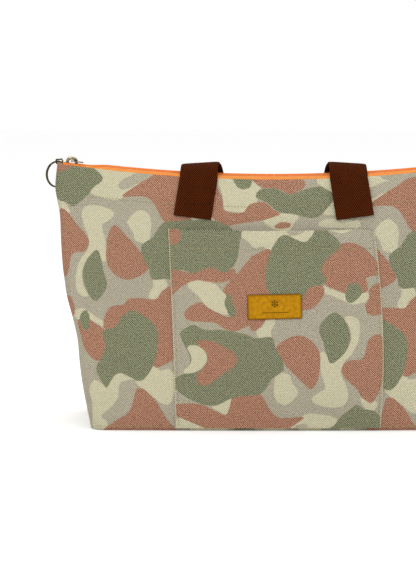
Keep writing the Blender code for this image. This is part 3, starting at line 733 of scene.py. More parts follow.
def cloth_solid(name, outer, inner, material, cloth, wrap=False, cap=False, extra=()):
    """Close the space between two grids of points. A cap fills the first row of a wrapped grid."""
    rows, columns, _ = outer.shape
    total = rows * columns
    faces = grid_faces(rows, columns, wrap)
    quads = [faces, faces[:, ::-1] + total]
    first = np.arange(columns)
    last = first + (rows - 1) * columns
    edges = [(last, last + total)] if cap else [(first, first + total), (last, last + total)]
    quads += [strip_faces(a, b, wrap) for a, b in edges]
    if not wrap:
        side = np.arange(rows) * columns
        quads += [strip_faces(a, a + total, False) for a in (side, side + columns - 1)]
    face_list = np.concatenate(quads).tolist()
    if cap:
        face_list += [first.tolist(), (first + total).tolist()]
    vertices = np.concatenate((outer.reshape(-1, 3), inner.reshape(-1, 3)))
    doubled = [(key, np.tile(values.reshape(-1, 3), (2, 1))) for key, values in (("cloth", cloth), *extra)]
    return add_mesh(name, vertices, face_list, material, doubled)


def girth_ring(side, rise, count):
    """Points round each place of a wire, from its two cross directions."""
    angle = np.arange(count) * 2 * math.pi / count
    return side[:, None] * np.cos(angle)[None, :, None] + rise[:, None] * np.sin(angle)[None, :, None]


def tube(name, points, radius, material, sides=8, flat=1.0, up=(0.0, 0.0, 1.0)):
    """A wire along points. flat scales its thickness along up."""
    tangent = unit(np.gradient(points, axis=0))
    side = unit(np.cross(tangent, up))
    ring = girth_ring(side, np.cross(side, tangent) * flat, sides)
    vertices = (points[:, None] + radius * ring).reshape(-1, 3)
    faces = grid_faces(len(points), sides, True).tolist()
    faces += [list(range(sides)), list(range((len(points) - 1) * sides, len(points) * sides))]
    cloth = stack(np.repeat(run_along(points), sides), 0.0)
    return add_mesh(name, vertices, faces, material, [("cloth", cloth)])


def catmull_rom(a, b, c, d, steps):
    """Points from b towards c on the curve through a, b, c and d, as the rows of a list."""
    rows = []
    for i in range(steps):
        t = i / steps
        cubic = 2 * b + (c - a) * t + (2 * a - 5 * b + 4 * c - d) * t**2
        rows.append(0.5 * (cubic + (3 * b - a - 3 * c + d) * t**3))
    return np.stack(rows, 1).reshape(-1, b.shape[-1])


def smooth_route(points, steps):
    """A smooth curve through points, from the first to the last."""
    ends = np.vstack((2 * points[0] - points[1], points, 2 * points[-1] - points[-2]))
    return np.vstack((catmull_rom(ends[:-3], ends[1:-2], ends[2:-1], ends[3:], steps), points[-1:]))


def smooth_closed(points, steps=6):
    """A smooth closed curve through points."""
    neighbours = [np.roll(points, shift, axis=0) for shift in (1, 0, -1, -2)]
    return catmull_rom(*neighbours, steps)


def stitches(name, paths, material, pitch=3.4 * MM, radius=0.32 * MM, share=0.72):
    """Threads along paths of (points, outward direction), each with its two ends sunk in the cloth."""
    along = np.array((-1.0, -0.7, 0.0, 0.7, 1.0))
    girth = np.array((0.3, 0.85, 1.0, 0.85, 0.3))
    height = np.array((-1.2, -0.1, 0.25, -0.1, -1.2))
    sides = 6
    vertices = []
    cloth = []
    for points, outward in paths:
        run = run_along(points)
        count = max(1, int(run[-1] / pitch))
        middles = (np.arange(count) + 0.5) * run[-1] / count
        places = [
            stack(*(np.interp(middles + offset * pitch, run, points[:, k]) for k in range(3)))
            for offset in (-0.3, 0.0, 0.3)
        ]
        tangent = unit(places[2] - places[0])
        side = unit(np.cross(tangent, outward))
        out = np.cross(side, tangent)
        reach = along * pitch * share / 2
        body = places[1][:, None] + tangent[:, None] * reach[None, :, None]
        body = body + out[:, None] * (height * radius)[None, :, None]
        thread = girth_ring(side, out, sides)[:, None] * (girth * radius)[None, :, None, None]
        vertices.append((body[:, :, None] + thread).reshape(-1, 3))
        cloth.append(np.tile(np.repeat(reach, sides), count))
    vertices = np.concatenate(vertices)
    size = len(along) * sides
    starts = np.arange(len(vertices) // size) * size
    faces = (grid_faces(len(along), sides, True)[None] + starts[:, None, None]).reshape(-1, 4)
    return add_mesh(name, vertices, faces.tolist(), material, [("cloth", stack(np.concatenate(cloth), 0.0))])


def plate(name, outlines, low, thick, material):
    """A flat plate with rounded edges, from its outline and those of its holes."""
    curve = bpy.data.curves.new(name, "CURVE")
    curve.dimensions = "2D"
    curve.fill_mode = "BOTH"
    curve.bevel_depth = thick * 0.28
    curve.bevel_resolution = 2
    curve.extrude = thick / 2 - curve.bevel_depth
    for points in outlines:
        spline = curve.splines.new("POLY")
        spline.points.add(len(points) - 1)
        for spot, (x, y) in zip(spline.points, points):
            spot.co = (x, y, 0.0, 1.0)
        spline.use_cyclic_u = True
    holder = bpy.data.objects.new(name + "_curve", curve)
    mesh = bpy.data.meshes.new_from_object(holder)
    bpy.data.objects.remove(holder)
    mesh.name = name
    mesh.transform(Matrix.Translation((0.0, 0.0, low + thick / 2)))
    return link(name, mesh, material, 40.0)


def rectangle_sides(half_x, low, high, count):
    """The four sides of a rectangle about x 0, each as its places across and up."""
    corners = ((-half_x, low), (half_x, low), (half_x, high), (-half_x, high), (-half_x, low))
    return [np.linspace(start, end, count).T for start, end in zip(corners, corners[1:])]


# The body's form


def ease(share):
    """Smooth step from 0 to 1."""
    share = np.clip(share, 0.0, 1.0)
    return share * share * (3.0 - 2.0 * share)


def ramp(share):
    """Straight step from 0 to 1."""
    return np.clip(share, 0.0, 1.0)


def top_height(x):
    """Height of the top edge, which sags towards the middle."""
    return TOP_CENTRE + TOP_RISE * (x / TOP_HALF) ** 2


def half_width(v):
    """Half of the body's width, with its outline's corners eased."""
    widths = np.array(HALF_WIDTHS_MM) * MM
    near = np.interp(v - WIDTH_SMOOTHING, HEIGHTS, widths) + np.interp(v + WIDTH_SMOOTHING, HEIGHTS, widths)
    return (2 * np.interp(v, HEIGHTS, widths) + near) / 4


def corner_depth(v):
    """Half of the body's depth at its ends."""
    fall = np.clip(1.0 - np.clip(v, 0.0, None) ** 1.5, 0.0, None) ** 1.2
    return TOP_CORNER_DEPTH + (BASE_CORNER_DEPTH - TOP_CORNER_DEPTH) * fall


def middle_depth(v):
    """Half of the body's depth at its middle."""
    return TOP_MIDDLE_DEPTH + (BASE_MIDDLE_DEPTH - TOP_MIDDLE_DEPTH) * (1.0 - np.clip(v, 0.0, None) ** 2.2)


def corner_radius(v):
    """Radius of the body's upright corners."""
    return BASE_RADIUS + (TOP_RADIUS - BASE_RADIUS) * v


def flat_depth(u, v):
    """Half depth of the front or back at u, from -1 at the left corner to 1 at the right one."""
    return corner_depth(v) + (middle_depth(v) - corner_depth(v)) * (1.0 - u * u)


def panel_depth(x, z):
    """Half depth of the walls at a place on the front or back panel."""
    v = z / top_height(x)
    return flat_depth(x / (half_width(v) - corner_radius(v)), v)


def slack(x, y, z):
    """How far the canvas stands off its foam: soft swells, none at the base or at the top edge."""
    across = np.sin(31.0 * x + 2.2 * np.sin(24.0 * z + 9.0 * y) + 8.0 * y)
    upward = np.sin(43.0 * z + 1.7 * np.sin(19.0 * x - 11.0 * y) + 20.0 * y)
    free = ramp(z / FREE_LOW) * ramp((top_height(x) - z) / FREE_TOP)
    return SLACK * (0.5 + 0.22 * across + 0.28 * upward) * free


def panel_y(x, z, side):
    """Outer y of the canvas on the front, with side -1, or on the back."""
    depth = panel_depth(x, z)
    return side * (depth + slack(x, side * depth, z))


def ring_stations():
    """Places round the body: (side_x, side_y, kind, value, panel), from the front panel's left seam on.

    A value is a share of the panel's width, an angle round the corner, or a share of the gusset's depth.
    """
    near = [math.radians(a) for a in CORNER_ANGLES]
    far = [math.radians(90.0 - a) for a in reversed(CORNER_ANGLES)]
    flats = np.linspace(-1.0, 1.0, 2 * FLAT_STEPS + 1)
    gusset = np.linspace(-1.0, 1.0, 2 * GUSSET_STEPS + 1)
    runs = (
        (-1, -1, CORNER, near[::-1], FRONT),
        (0, -1, FLAT, flats, FRONT),
        (1, -1, CORNER, near, FRONT),
        (1, -1, CORNER, far, RIGHT),
        (1, 0, GUSSET, gusset, RIGHT),
        (1, 1, CORNER, far[::-1], RIGHT),
        (1, 1, CORNER, near[::-1], BACK),
        (0, 1, FLAT, flats[::-1], BACK),
        (-1, 1, CORNER, near, BACK),
        (-1, 1, CORNER, far, LEFT),
        (-1, 0, GUSSET, gusset[::-1], LEFT),
        (-1, -1, CORNER, far[::-1], LEFT),
    )
    return np.array([(x, y, kind, value, panel) for x, y, kind, values, panel in runs for value in values])


STATIONS = ring_stations()
PANELS = STATIONS[:, 4].astype(int)
FRONT_MIDDLE = len(CORNER_ANGLES) + FLAT_STEPS


def walls_at(v, depth):
    """Points of the body's rings: one row for each height fraction, at its depth in from the outer face."""
    side_x, side_y, kind, value, _ = STATIONS.T[:, None, :]
    v = np.asarray(v, float)[:, None]
    depth = np.broadcast_to(np.reshape(depth, (len(v), -1)), (len(v), len(STATIONS)))
    radius = corner_radius(v)
    reach = half_width(v) - radius
    inset = corner_depth(v) - radius
    turn_x = side_x * (reach + (radius - depth) * np.sin(value))
    turn_y = side_y * (inset + (radius - depth) * np.cos(value))
    flat_y = side_y * (flat_depth(value, v) - depth)
    kinds = (kind == FLAT, kind == CORNER)
    x = np.select(kinds, (value * reach, turn_x), side_x * (reach + radius - depth))
    y = np.select(kinds, (flat_y, turn_y), value * inset)
    return stack(x, y, v * top_height(x))


def swell_at(points):
    """The canvas's slack at points of the walls."""
    return slack(points[..., 0], points[..., 1], points[..., 2])


def round_distance(points):
    """Distance round the body from the middle of the front, along each row."""
    closed = np.concatenate((points, points[:, :1]), axis=1)
    steps = np.linalg.norm(np.diff(closed[..., :2], axis=1), axis=2)
    run = np.cumsum(steps, axis=1) - steps
    run = run - run[:, FRONT_MIDDLE : FRONT_MIDDLE + 1]
    return np.where(PANELS == LEFT, run - steps.sum(1, keepdims=True), run)


def floor_rings(edge, shares, height):
    """Rings that fill a floor in from its edge, at one height."""
    rings = edge[None] * np.array(shares)[:, None, None]
    rings[..., 2] = height
    return rings


# The print


def inside_depth(points, outline):
    """Depth of each point inside a closed outline, negative outside it."""
    edge = np.roll(outline, -1, axis=0) - outline
    offset = points[:, None] - outline[None]
    share = ramp((offset * edge).sum(-1) / (edge**2).sum(-1))
    distance = np.sqrt(((offset - share[..., None] * edge) ** 2).sum(-1)).min(1)
    start_y = outline[:, 1]
    crosses = (start_y > points[:, 1:]) != (start_y + edge[:, 1] > points[:, 1:])
    level = np.where(edge[:, 1] == 0.0, 1.0, edge[:, 1])
    at = outline[:, 0] + (points[:, 1:] - start_y) / level * edge[:, 0]
    odd = (crosses & (points[:, :1] < at)).sum(1) % 2 == 1
    return np.where(odd, distance, -distance)


def patch_depth(points, patches, shifts):
    """Depth inside the nearest patch of one colour, which repeats at each shift."""
    best = np.full(len(points), -PATCH_MARGIN_MM)
    for patch in patches:
        outline = smooth_closed(np.array(patch, float))
        for shift in shifts:
            moved = outline + (shift, 0.0)
            low = moved.min(0) - PATCH_MARGIN_MM
            high = moved.max(0) + PATCH_MARGIN_MM
            near = np.all((points > low) & (points < high), axis=1)
            if near.any():
                best[near] = np.maximum(best[near], inside_depth(points[near], moved))
    return best


def print_layers(cloth_mm, colours=PRINT_MM, repeats=True):
    """The six depths that the canvas finish reads, as two vectors for each place on the cloth."""
    points = cloth_mm.reshape(-1, 2).astype(float)
    shifts = (0.0,)
    if repeats:
        points[:, 0] = (points[:, 0] - REPEAT_START_MM) % REPEAT_MM + REPEAT_START_MM
        shifts = (-REPEAT_MM, 0.0, REPEAT_MM)
    layers = np.stack([patch_depth(points, patches, shifts) for patches in colours], -1)
    layers = layers.reshape(*cloth_mm.shape[:-1], len(colours))
    return layers[..., :3], layers[..., 3:]


def body_print(points, run):
    """Print of the body: each panel is cut from its own part of the cloth."""
    x = run / MM
    z = points[..., 2] / MM
    behind = PANELS == BACK
    across = x + np.where(behind, BACK_SHIFT_MM, 0.0)
    level = np.clip(x, -HALF_WIDTHS_MM[-1], HALF_WIDTHS_MM[-1]) - FRONT_LEVEL_MM
    up = np.where(behind, z - BACK_DROP_MM, z + FRONT_TILT * level)
    layers = print_layers(np.stack((across, up), -1))
    strip = (PANELS == FRONT) & (np.abs(x) < STRIP_HALF_MM) & (z > STRIP_LOW_MM)
    strip_layers = print_layers(np.stack((x[strip], z[strip]), -1), STRIP_MM, repeats=False)
    for layer, strip_layer in zip(layers, strip_layers):
        layer[strip] = strip_layer
    return layers


# The pieces


def ride(obj, body, slot, *nodes):
    """Put a finished piece on its body and hide the nodes that it stands for. The slot is not used."""
    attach(obj, body)
    if nodes:
        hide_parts(*nodes)
    return obj


def box_nodes(layer):
    """The five nodes of one layer of the box."""
    return [layer + side for side in ("front", "back", "left", "right", "base")]


def make_canvas(materials):
    """The outer cloth: base, walls, the turned top edge and the facing inside it, as one shell."""
    seam_height, seam_depth = np.array(BASE_SEAM_MM).T * MM
    rows = np.linspace(WALL_LOW / TOP_CENTRE, WALL_TOP, int(TOP_CENTRE / STEP))
    roll = FACING_DEPTH / 2
    turn = np.linspace(0.0, math.pi, 7)
    turned = 1.0 - roll / TOP_CENTRE * (1.0 - np.sin(turn))
    facing = np.linspace(WALL_TOP, FACING_END, 9)
    v = np.concatenate((seam_height / TOP_CENTRE, rows, turned, facing))
    turned_depth = roll * (1.0 - np.cos(turn))
    facing_depth = np.full(len(facing), FACING_DEPTH)
    depth = np.concatenate((seam_depth, np.zeros(len(rows)), turned_depth, facing_depth))

    ends = np.diff(np.append(PANELS, PANELS[0])) != 0
    seam = (ends | np.roll(ends, 1)) * SEAM_SINK
    outer_face = (np.arange(len(v)) < len(seam_height) + len(rows))[:, None]
    swell = swell_at(walls_at(v, depth))
    points = walls_at(v, depth[:, None] + np.where(outer_face, seam[None, :] - swell, -INNER_SLACK * swell))
    base = floor_rings(points[0], BASE_RINGS, 0.0)
    grid = np.concatenate((base, points))
    inner = grid - outward_normals(grid) * CANVAS_THICK

    run = round_distance(points)
    cloth = np.concatenate((base, stack(run, points[..., 2])))
    layers = zip(print_layers(base[..., :2] / MM), body_print(points, run))
    under, over = (np.concatenate(pair) for pair in layers)
    extra = (("print_under", under), ("print_over", over))
    canvas = materials["canvas"]
    obj = cloth_solid("canvas_shell", grid, inner, canvas, cloth, wrap=True, cap=True, extra=extra)
    nodes = (*box_nodes("canvas_"), "facing_front", "facing_back")
    ride(obj, "bag", "printed_canvas", *nodes)


def make_foam(materials):
    """The foam box between the canvas and the lining."""
    rows = np.linspace(FOAM_LOW / TOP_CENTRE, FOAM_TOP, 40)
    faces = []
    for depth, floor in zip(FOAM_DEPTHS, FOAM_FLOORS):
        walls = walls_at(rows, np.full(len(rows), depth))
        walls[..., 2] = np.maximum(walls[..., 2], floor)
        faces.append(np.concatenate((floor_rings(walls[0], FOAM_RINGS, floor), walls)))
    outer, inner = faces
    obj = cloth_solid("foam_shell", outer, inner, materials["foam"], outer, wrap=True, cap=True)
    ride(obj, "bag", "insulation_foam", *box_nodes("foam_"))


def make_lining(materials):
    """The lining: it hangs from the facing, goes over the foam's edge and crinkles down to its floor."""
    top_v, top_depth = np.array(LINING_TOP).T
    rows = np.linspace(LINING_WALL_TOP, LINING_LOW / TOP_CENTRE, 66)
    v = np.concatenate((top_v, rows))[::-1]
    depth = np.concatenate((top_depth * MM, np.full(len(rows), LINING_DEPTH)))[::-1]
    points = walls_at(v, depth)
    run = round_distance(points)
    z = points[..., 2]
    folds = np.abs(np.sin(38.0 * run + 3.0 * np.sin(30.0 * z)))
    folds = folds + np.abs(np.sin(61.0 * z + 2.5 * np.sin(27.0 * run)))
    fold_end, fade = FOLD_FADE
    free = ramp((fold_end - v[:, None]) / fade)
    points = walls_at(v, depth[:, None] + folds * LINING_FOLD * free)
    base = floor_rings(points[0], LINING_RINGS, LINING_FLOOR)
    grid = np.concatenate((base, points))
    outer = grid + outward_normals(grid) * LINING_THICK
    cloth = np.concatenate((base, stack(run, z)))
    obj = cloth_solid("lining_shell", grid, outer, materials["lining"], cloth, wrap=True, cap=True)
    ride(obj, "bag", "wipe_clean_lining", *box_nodes("lining_"))


def pocket_edges(z, top):
    """Left and right edges of the pocket at a height."""
    share = z / top
    swell = POCKET_SWELL * np.sin(math.pi * share**0.8)
    return POCKET_LEFT - POCKET_LEAN * share**1.5, POCKET_RIGHT + swell - POCKET_NARROWING * share**3


def pocket_y(x, z, top):
    """Outer y of the pocket's cloth: sewn down at its sides and base, and gaping at its mouth."""
    left, right = pocket_edges(z, top)
    across = ramp((x - left) / (right - left))
    gape = POCKET_GAPE * np.sin(math.pi * across) ** 0.7 * ramp(z / top) ** 3
    hem = HEM_THICK * ramp((z - top + POCKET_HEM) / HEM_STEP)
    return panel_y(x, z, -1) - POCKET_STAND_OFF - gape - hem - POCKET_CLOTH


def pocket_print_place(x_mm, z_mm):
    """Place on the cloth of a place on the pocket, which is cut upside down.

    The outlines near the repeat's edge are drawn as they look round the body's corner, so they widen here.
    """
    across = POCKET_CUT_MM[0] - x_mm
    up = POCKET_CUT_MM[1] - z_mm
    edge = half_width(up * MM / TOP_CENTRE) / MM + CORNER_EASE_MM
    narrow = (edge + CORNER_START_MM) / (CORNER_START_MM - CORNER_END_MM)
    across = np.where(across < CORNER_START_MM, CORNER_START_MM + (across - CORNER_START_MM) * narrow, across)
    return np.stack((across, up), -1)


def pocket_grid():
    """Outer points of the pocket, and the same points pushed in by its cloth."""
    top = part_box("front_pocket")[1].z
    wall = np.linspace(POCKET_LOW, top - POCKET_HEM - HEM_FOLD, POCKET_ROWS)
    z = np.concatenate((wall, np.linspace(top - POCKET_HEM, top, HEM_ROWS)))[:, None]
    u = np.linspace(0.0, 1.0, POCKET_COLUMNS)[None]
    left, right = pocket_edges(z, top)
    x = left + (right - left) * u
    corner = ramp((u - 0.93) / 0.07) ** 2 * ramp((z - top + CORNER_DROOP_HEIGHT) / CORNER_DROOP_HEIGHT)
    droop = z - CORNER_DROOP * corner - MOUTH_SAG * np.sin(math.pi * u) * (z / top) ** 6
    y = pocket_y(x, z, top)
    return stack(x, y, droop), stack(x, y + POCKET_CLOTH * 0.8, droop)


def make_pocket(materials):
    """The pocket's cloth with its turned hem, edge piping and stitching."""
    outer, inner = pocket_grid()
    x, _, z = np.moveaxis(outer, -1, 0)
    under, over = print_layers(pocket_print_place(x / MM, z / MM))
    place = np.stack((x / MM, z / MM), -1).reshape(-1, 2)
    fuller = patch_depth(place, POCKET_RUST_MM, (0.0,)).reshape(x.shape)
    under[..., 1] = np.maximum(under[..., 1], fuller)
    extra = (("print_under", under), ("print_over", over))
    obj = cloth_solid("pocket_cloth", outer, inner, materials["canvas"], stack(x, z), extra=extra)
    ride(obj, "bag", "printed_canvas", "front_pocket")

    lines = outer + (0.0, -0.15 * MM, 0.0)
    rows = (lines[POCKET_ROWS - 2, 2:-2], lines[1:-1, 1], lines[1:-1, -2])
    paths = [(row, (0.0, -1.0, 0.15)) for row in rows]
    thread = stitches("pocket_stitching", paths, materials["pale_thread"])
    pieces = [ride(thread, "bag", "printed_canvas")]
    for name, column in (("pocket_piping_left", 0), ("pocket_piping_right", -1)):
        route = outer[:, column] + (0.0, 0.45 * MM, 0.0)
        piping = tube(name, route, PIPING_RADIUS, materials["piping"], up=(0.0, 1.0, 0.0))
        pieces.append(ride(piping, "bag", "printed_canvas"))


def label_frame():
    """Half sizes of the label, and a function from places on its face to points on the pocket."""
    low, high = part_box("label_patch")
    pocket_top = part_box("front_pocket")[1].z
    centre = (low + high) / 2

    def label_points(across, up, lift):
        """Points at a lift above the pocket's cloth, from the label's own axes."""
        x = centre.x + across * math.cos(LABEL_TILT) - up * math.sin(LABEL_TILT)
        z = centre.z + across * math.sin(LABEL_TILT) + up * math.cos(LABEL_TILT)
        return stack(x, pocket_y(x, z, pocket_top) - lift, z)

    return (high.x - low.x) / 2, (high.z - low.z) / 2, label_points


def mark_strokes():
    """Strokes of the label's mark, in millimetres: a snowflake with six barbed arms, and a bar."""
    strokes = []
    start, end = MARK_ARM_MM
    root, tip, spread = MARK_BARB_MM
    for arm in range(6):
        angle = math.pi * arm / 3 + math.pi / 6
        way = np.array((math.cos(angle), math.sin(angle)))
        side = np.array((-way[1], way[0]))
        strokes.append((way * start, way * end))
        strokes += [(way * root, way * tip + side * hand * spread) for hand in (-1, 1)]
    strokes = [(first + MARK_CENTRE_MM, last + MARK_CENTRE_MM) for first, last in strokes]
    return strokes + [tuple(np.array(MARK_BAR_MM))]


def make_leather(half_x, half_z, label_points, material):
    """The label's leather, with rounded corners and edges."""
    straight = 1 - LABEL_RADIUS / half_z
    round_rows = np.linspace(straight, 1, 5)[1:]
    rows = np.concatenate((-round_rows[::-1], np.linspace(-straight, straight, 13), round_rows))
    up = (rows * half_z)[:, None]
    corner = np.clip(np.abs(up) - (half_z - LABEL_RADIUS), 0.0, LABEL_RADIUS)
    width = half_x - LABEL_RADIUS + np.sqrt(np.clip(LABEL_RADIUS**2 - corner**2, 0.0, None))
    across = width * np.sin(np.linspace(-math.pi / 2, math.pi / 2, 41))[None]
    to_edge = np.minimum(width - np.abs(across), half_z - np.abs(up))
    rounded = LABEL_ROUNDING * (1.0 - ramp(to_edge / ROUNDED_EDGE)) ** 2
    outer = label_points(across, up, LABEL_THICK - rounded)
    inner = label_points(across, up, LABEL_LOW)
    cloth = stack(across, up, 1.0 - ramp(to_edge / DARK_EDGE))
    leather = cloth_solid("label_leather", outer, inner, material, cloth)
    ride(leather, "bag", "label_leather", "label_patch")


def make_label(materials):
    """The leather label, its stitched border, and a plain mark pressed into it."""
    half_x, half_z, label_points = label_frame()
    make_leather(half_x, half_z, label_points, materials["leather"])
    box_x, box_z = half_x - LABEL_STITCH_INSET, half_z - LABEL_STITCH_INSET
    sides = rectangle_sides(box_x, -box_z, box_z, 12)
    paths = [(label_points(x, z, LABEL_THICK + 0.1 * MM), (0.0, -1.0, 0.0)) for x, z in sides]
    thread = stitches("label_stitching", paths, materials["label_thread"], pitch=2.4 * MM, radius=0.2 * MM)
    ride(thread, "bag", "label_leather")

    vertices = []
    strokes = mark_strokes()
    for start, end in strokes:
        way = (end - start) / np.linalg.norm(end - start)
        side = np.array((-way[1], way[0])) * MARK_STROKE_MM
        flat = np.array((start - side, end - side, end + side, start + side)) * MM
        vertices += [label_points(flat[:, 0], flat[:, 1], lift) for lift in MARK_LIFTS]
    vertices = np.concatenate(vertices)
    box = np.array(((0, 1, 2, 3), (7, 6, 5, 4), (0, 4, 5, 1), (1, 5, 6, 2), (2, 6, 7, 3), (3, 7, 4, 0)))
    faces = (box[None] + (np.arange(len(strokes)) * 8)[:, None, None]).reshape(-1, 4)
    mark = add_mesh("label_mark", vertices, faces.tolist(), materials["mark"], [("cloth", vertices)])
    ride(mark, "bag", "label_leather")


def make_seams(materials):
    """Topstitching of the hem and of the base, all round the body."""
    rows = np.array((1.0 - HEM_DROP / TOP_CENTRE, BASE_STITCH_HEIGHT / TOP_CENTRE))
    swell = swell_at(walls_at(rows, np.full(2, -SEAM_LIFT)))
    paths = []
    for row in walls_at(rows, -SEAM_LIFT - swell):
        for panel, x, y in ((FRONT, 0.0, -1.0), (RIGHT, 1.0, 0.0), (BACK, 0.0, 1.0), (LEFT, -1.0, 0.0)):
            paths.append((row[PANELS == panel][2:-2], (x, y, 0.1)))
    ride(stitches("body_stitching", paths, materials["pale_thread"]), "bag", "printed_canvas")


def zip_height(x):
    """Height of the zip's middle plane."""
    return top_height(x) - ZIP_DROP


def mouth_half(x):
    """Half of the space between the facings at the top edge."""
    return flat_depth(x / (TOP_HALF - TOP_RADIUS), 1.0) - FACING_DEPTH


def tape_height(x, y):
    """Height of a tape: it lies over the turned edge and rises a little to the teeth, clear of the slider."""
    flap_end = np.where(x < 0.0, FLAP_END[-1], FLAP_END[1])
    clear = ease((flap_end - np.abs(x)) / TAPE_EASE)
    edge = ease((np.abs(y) - mouth_half(x) + TAPE_RAMP) / TAPE_RAMP)
    lap = ramp((np.abs(y) - mouth_half(x) - 0.7 * TAPE_LAP) / (0.3 * TAPE_LAP))
    front, back = TAPE_OVER
    over = front + np.where(y > 0.0, back - front, 0.0) * clear
    middle = ZIP_DROP + TEETH_RISE
    return zip_height(x) + middle * clear * (1.0 - edge) + (ZIP_DROP + over - TAPE_LAP_FALL * lap) * edge


def tape_strip(name, side, x, material):
    """One side's tape over a stretch of the zip."""
    x = x[:, None]
    y = side * (TAPE_INNER + (mouth_half(x) + TAPE_LAP - TAPE_INNER) * np.linspace(0.0, 1.0, 16)[None])
    grid = stack(x, y, tape_height(x, y))
    thick = np.array((0.0, 0.0, TAPE_THICK / 2))
    tape = cloth_solid(name, grid + thick, grid - thick, material, stack(x, y))
    return tape


def coil_strip(name, side, start, end, parted, material):
    """One side's coil: a wire that winds along the tape's inner edge, half a turn off the other side's.

    Over its first stretch, as long as parted, it leaves room for the slider's post.
    """
    turns = int((abs(end - start) - 2.0 * MM) / TOOTH_PITCH)
    t = np.arange(turns * 8 + 1) / 8.0
    hand = math.copysign(1.0, end - start)
    x = start + hand * (0.6 * MM + (t + (0.5 if side > 0 else 0.0)) * TOOTH_PITCH)
    turn = 2 * math.pi * t
    apart = ease((hand * (start - x) + parted) / COIL_EASE)
    centre, swing = (near + (far - near) * apart for near, far in zip(COIL_SWING, COIL_SWING_PARTED))
    height = tape_height(x, np.full(len(x), side * TAPE_INNER)) + COIL_HEIGHT * np.sin(turn)
    route = stack(x, side * (centre + swing * np.cos(turn)), height)
    return tube(name, route, COIL_WIRE, material, sides=5)


def tape_material(materials, side):
    """The tape's material: the front one catches more light, so it is a paler copy of the same tape, with
    painted light.
    """
    return materials["painted_light_tape" if side < 0 else "tape"]


def make_flap(materials, side, hand):
    """One of the four flaps: its tape over the turned edge, and its coil, which rides on the flap's body."""
    suffix = ("front_" if side < 0 else "back_") + ("left" if hand < 0 else "right")
    body = "zip_flap_" + suffix
    end = FLAP_END[hand]
    x = hand * np.linspace(FLAP_START, end, 96)
    tape = tape_strip("zip_tape_cloth_" + suffix, side, x, tape_material(materials, side))
    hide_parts("zip_tape_" + suffix)
    hinge = Vector((0.0, side * mouth_half(0.0), zip_height(0.0)))
    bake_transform(tape)
    coil = coil_strip("zip_teeth_" + suffix, side, hand * FLAP_START, hand * end, 0.0, materials["coil"])
    ride(coil, body, "zip_coil", "zip_coil_" + suffix)


def make_closed_stretch(materials, side):
    """One side of the short stretch at the right that stays closed, where the slider stops."""
    suffix = "front" if side < 0 else "back"
    x = np.linspace(FLAP_END[1], CLOSED_END, 16)
    tape = tape_strip("zip_tape_closed_" + suffix, side, x, tape_material(materials, side))
    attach(tape, "bag")
    coil = coil_strip("zip_teeth_closed_" + suffix, side, x[0], x[-1], COIL_PARTED, materials["coil"])
    ride(coil, "bag", "zip_coil")


def make_zip_end(materials, name, hand):
    """The tape's closed end at one hand, which reaches over the body's corner."""
    low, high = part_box("zip_end_" + name)
    inner, outer = (high.x, low.x) if hand < 0 else (low.x, high.x)
    x = np.linspace(inner, outer + hand * END_REACH, 18)[:, None]
    past_corner = np.clip(np.abs(x) - TOP_HALF + TOP_RADIUS, 0.0, TOP_RADIUS) / TOP_RADIUS
    y = (mouth_half(x) + TAPE_LAP) * np.sqrt(1.0 - past_corner**2) * np.linspace(-1.0, 1.0, 15)[None]
    ridge_height, ridge_half = END_RIDGE
    ridge = ridge_height * np.exp(-((y / ridge_half) ** 2))
    z = tape_height(x, y)
    top = stack(x, y, z + END_THICK / 2 + ridge)
    bottom = stack(x, y, z - END_THICK / 2)
    piece = cloth_solid("zip_end_tape_" + name, top, bottom, materials["tape"], stack(x, y))
    ride(piece, "bag", "zip_end_canvas", "zip_end_" + name)


def make_zip(materials):
    """The four flaps, the stretch that stays closed and both ends."""
    for side in (-1, 1):
        for hand in (-1, 1):
            make_flap(materials, side, hand)
        make_closed_stretch(materials, side)
    for name, hand in (("left", -1), ("right", 1)):
        make_zip_end(materials, name, hand)


def slider_frame():
    """Frame of the slider: on the zip's middle plane, tilted with its slope."""
    slope = 2 * TOP_RISE * SLIDER_X / TOP_HALF**2
    place = Vector((SLIDER_X, 0.0, zip_height(SLIDER_X)))
    return Matrix.Translation(place) @ Matrix.Rotation(-math.atan(slope), 4, "Y")


def shield(length, width, taper, power, shift=0.0):
    """Outline of a rounded plate about x = shift, that narrows towards -x."""
    points = []
    for i in range(40):
        angle = 2 * math.pi * i / 40
        along = math.copysign(abs(math.cos(angle)) ** power, math.cos(angle))
        across = math.copysign(abs(math.sin(angle)) ** power, math.sin(angle))
        points.append((along * length / 2 + shift, across * width / 2 * (1.0 + taper * along)))
    return points


def make_slider(materials):
    """The slider's wings, its post and bridge, and the pull with its window."""
    brass = materials["brass"]
    pieces = []
    for name, low, width in WINGS:
        pieces.append(plate(name, [shield(WING_LENGTH, width, 0.1, 0.62)], low, WING_THICK, brass))
    pieces.append(plate("slider_post", [shield(*POST_SIZE, 0.0, 0.5, POST_X)], POST_LOW, POST_HEIGHT, brass))
    angle = np.linspace(0.0, math.pi, 25)
    arch = stack(-ARCH_HALF * np.cos(angle), 0.0, ARCH_FOOT + ARCH_RISE * np.sin(angle) ** 0.75)
    pieces.append(tube("slider_arch", arch, ARCH_WIRE, brass, sides=10, up=(0.0, 1.0, 0.0), flat=1.2))
    for piece, nodes in zip(pieces, (["slider_body"], [], [], ["slider_bridge"])):
        piece.matrix_world = slider_frame()
        ride(piece, "slider", "antique_brass", *nodes)

    leaf = shield(*LEAF_SIZE, -0.12, 0.7, LEAF_X)
    window = shield(*WINDOW_SIZE, 0.0, 0.6, WINDOW_X)
    pull = plate("slider_leaf", [leaf, window], LEAF_LOW, LEAF_THICK, brass)
    pull.matrix_world = slider_frame()
    ride(pull, "pull", "antique_brass", "slider_pull")


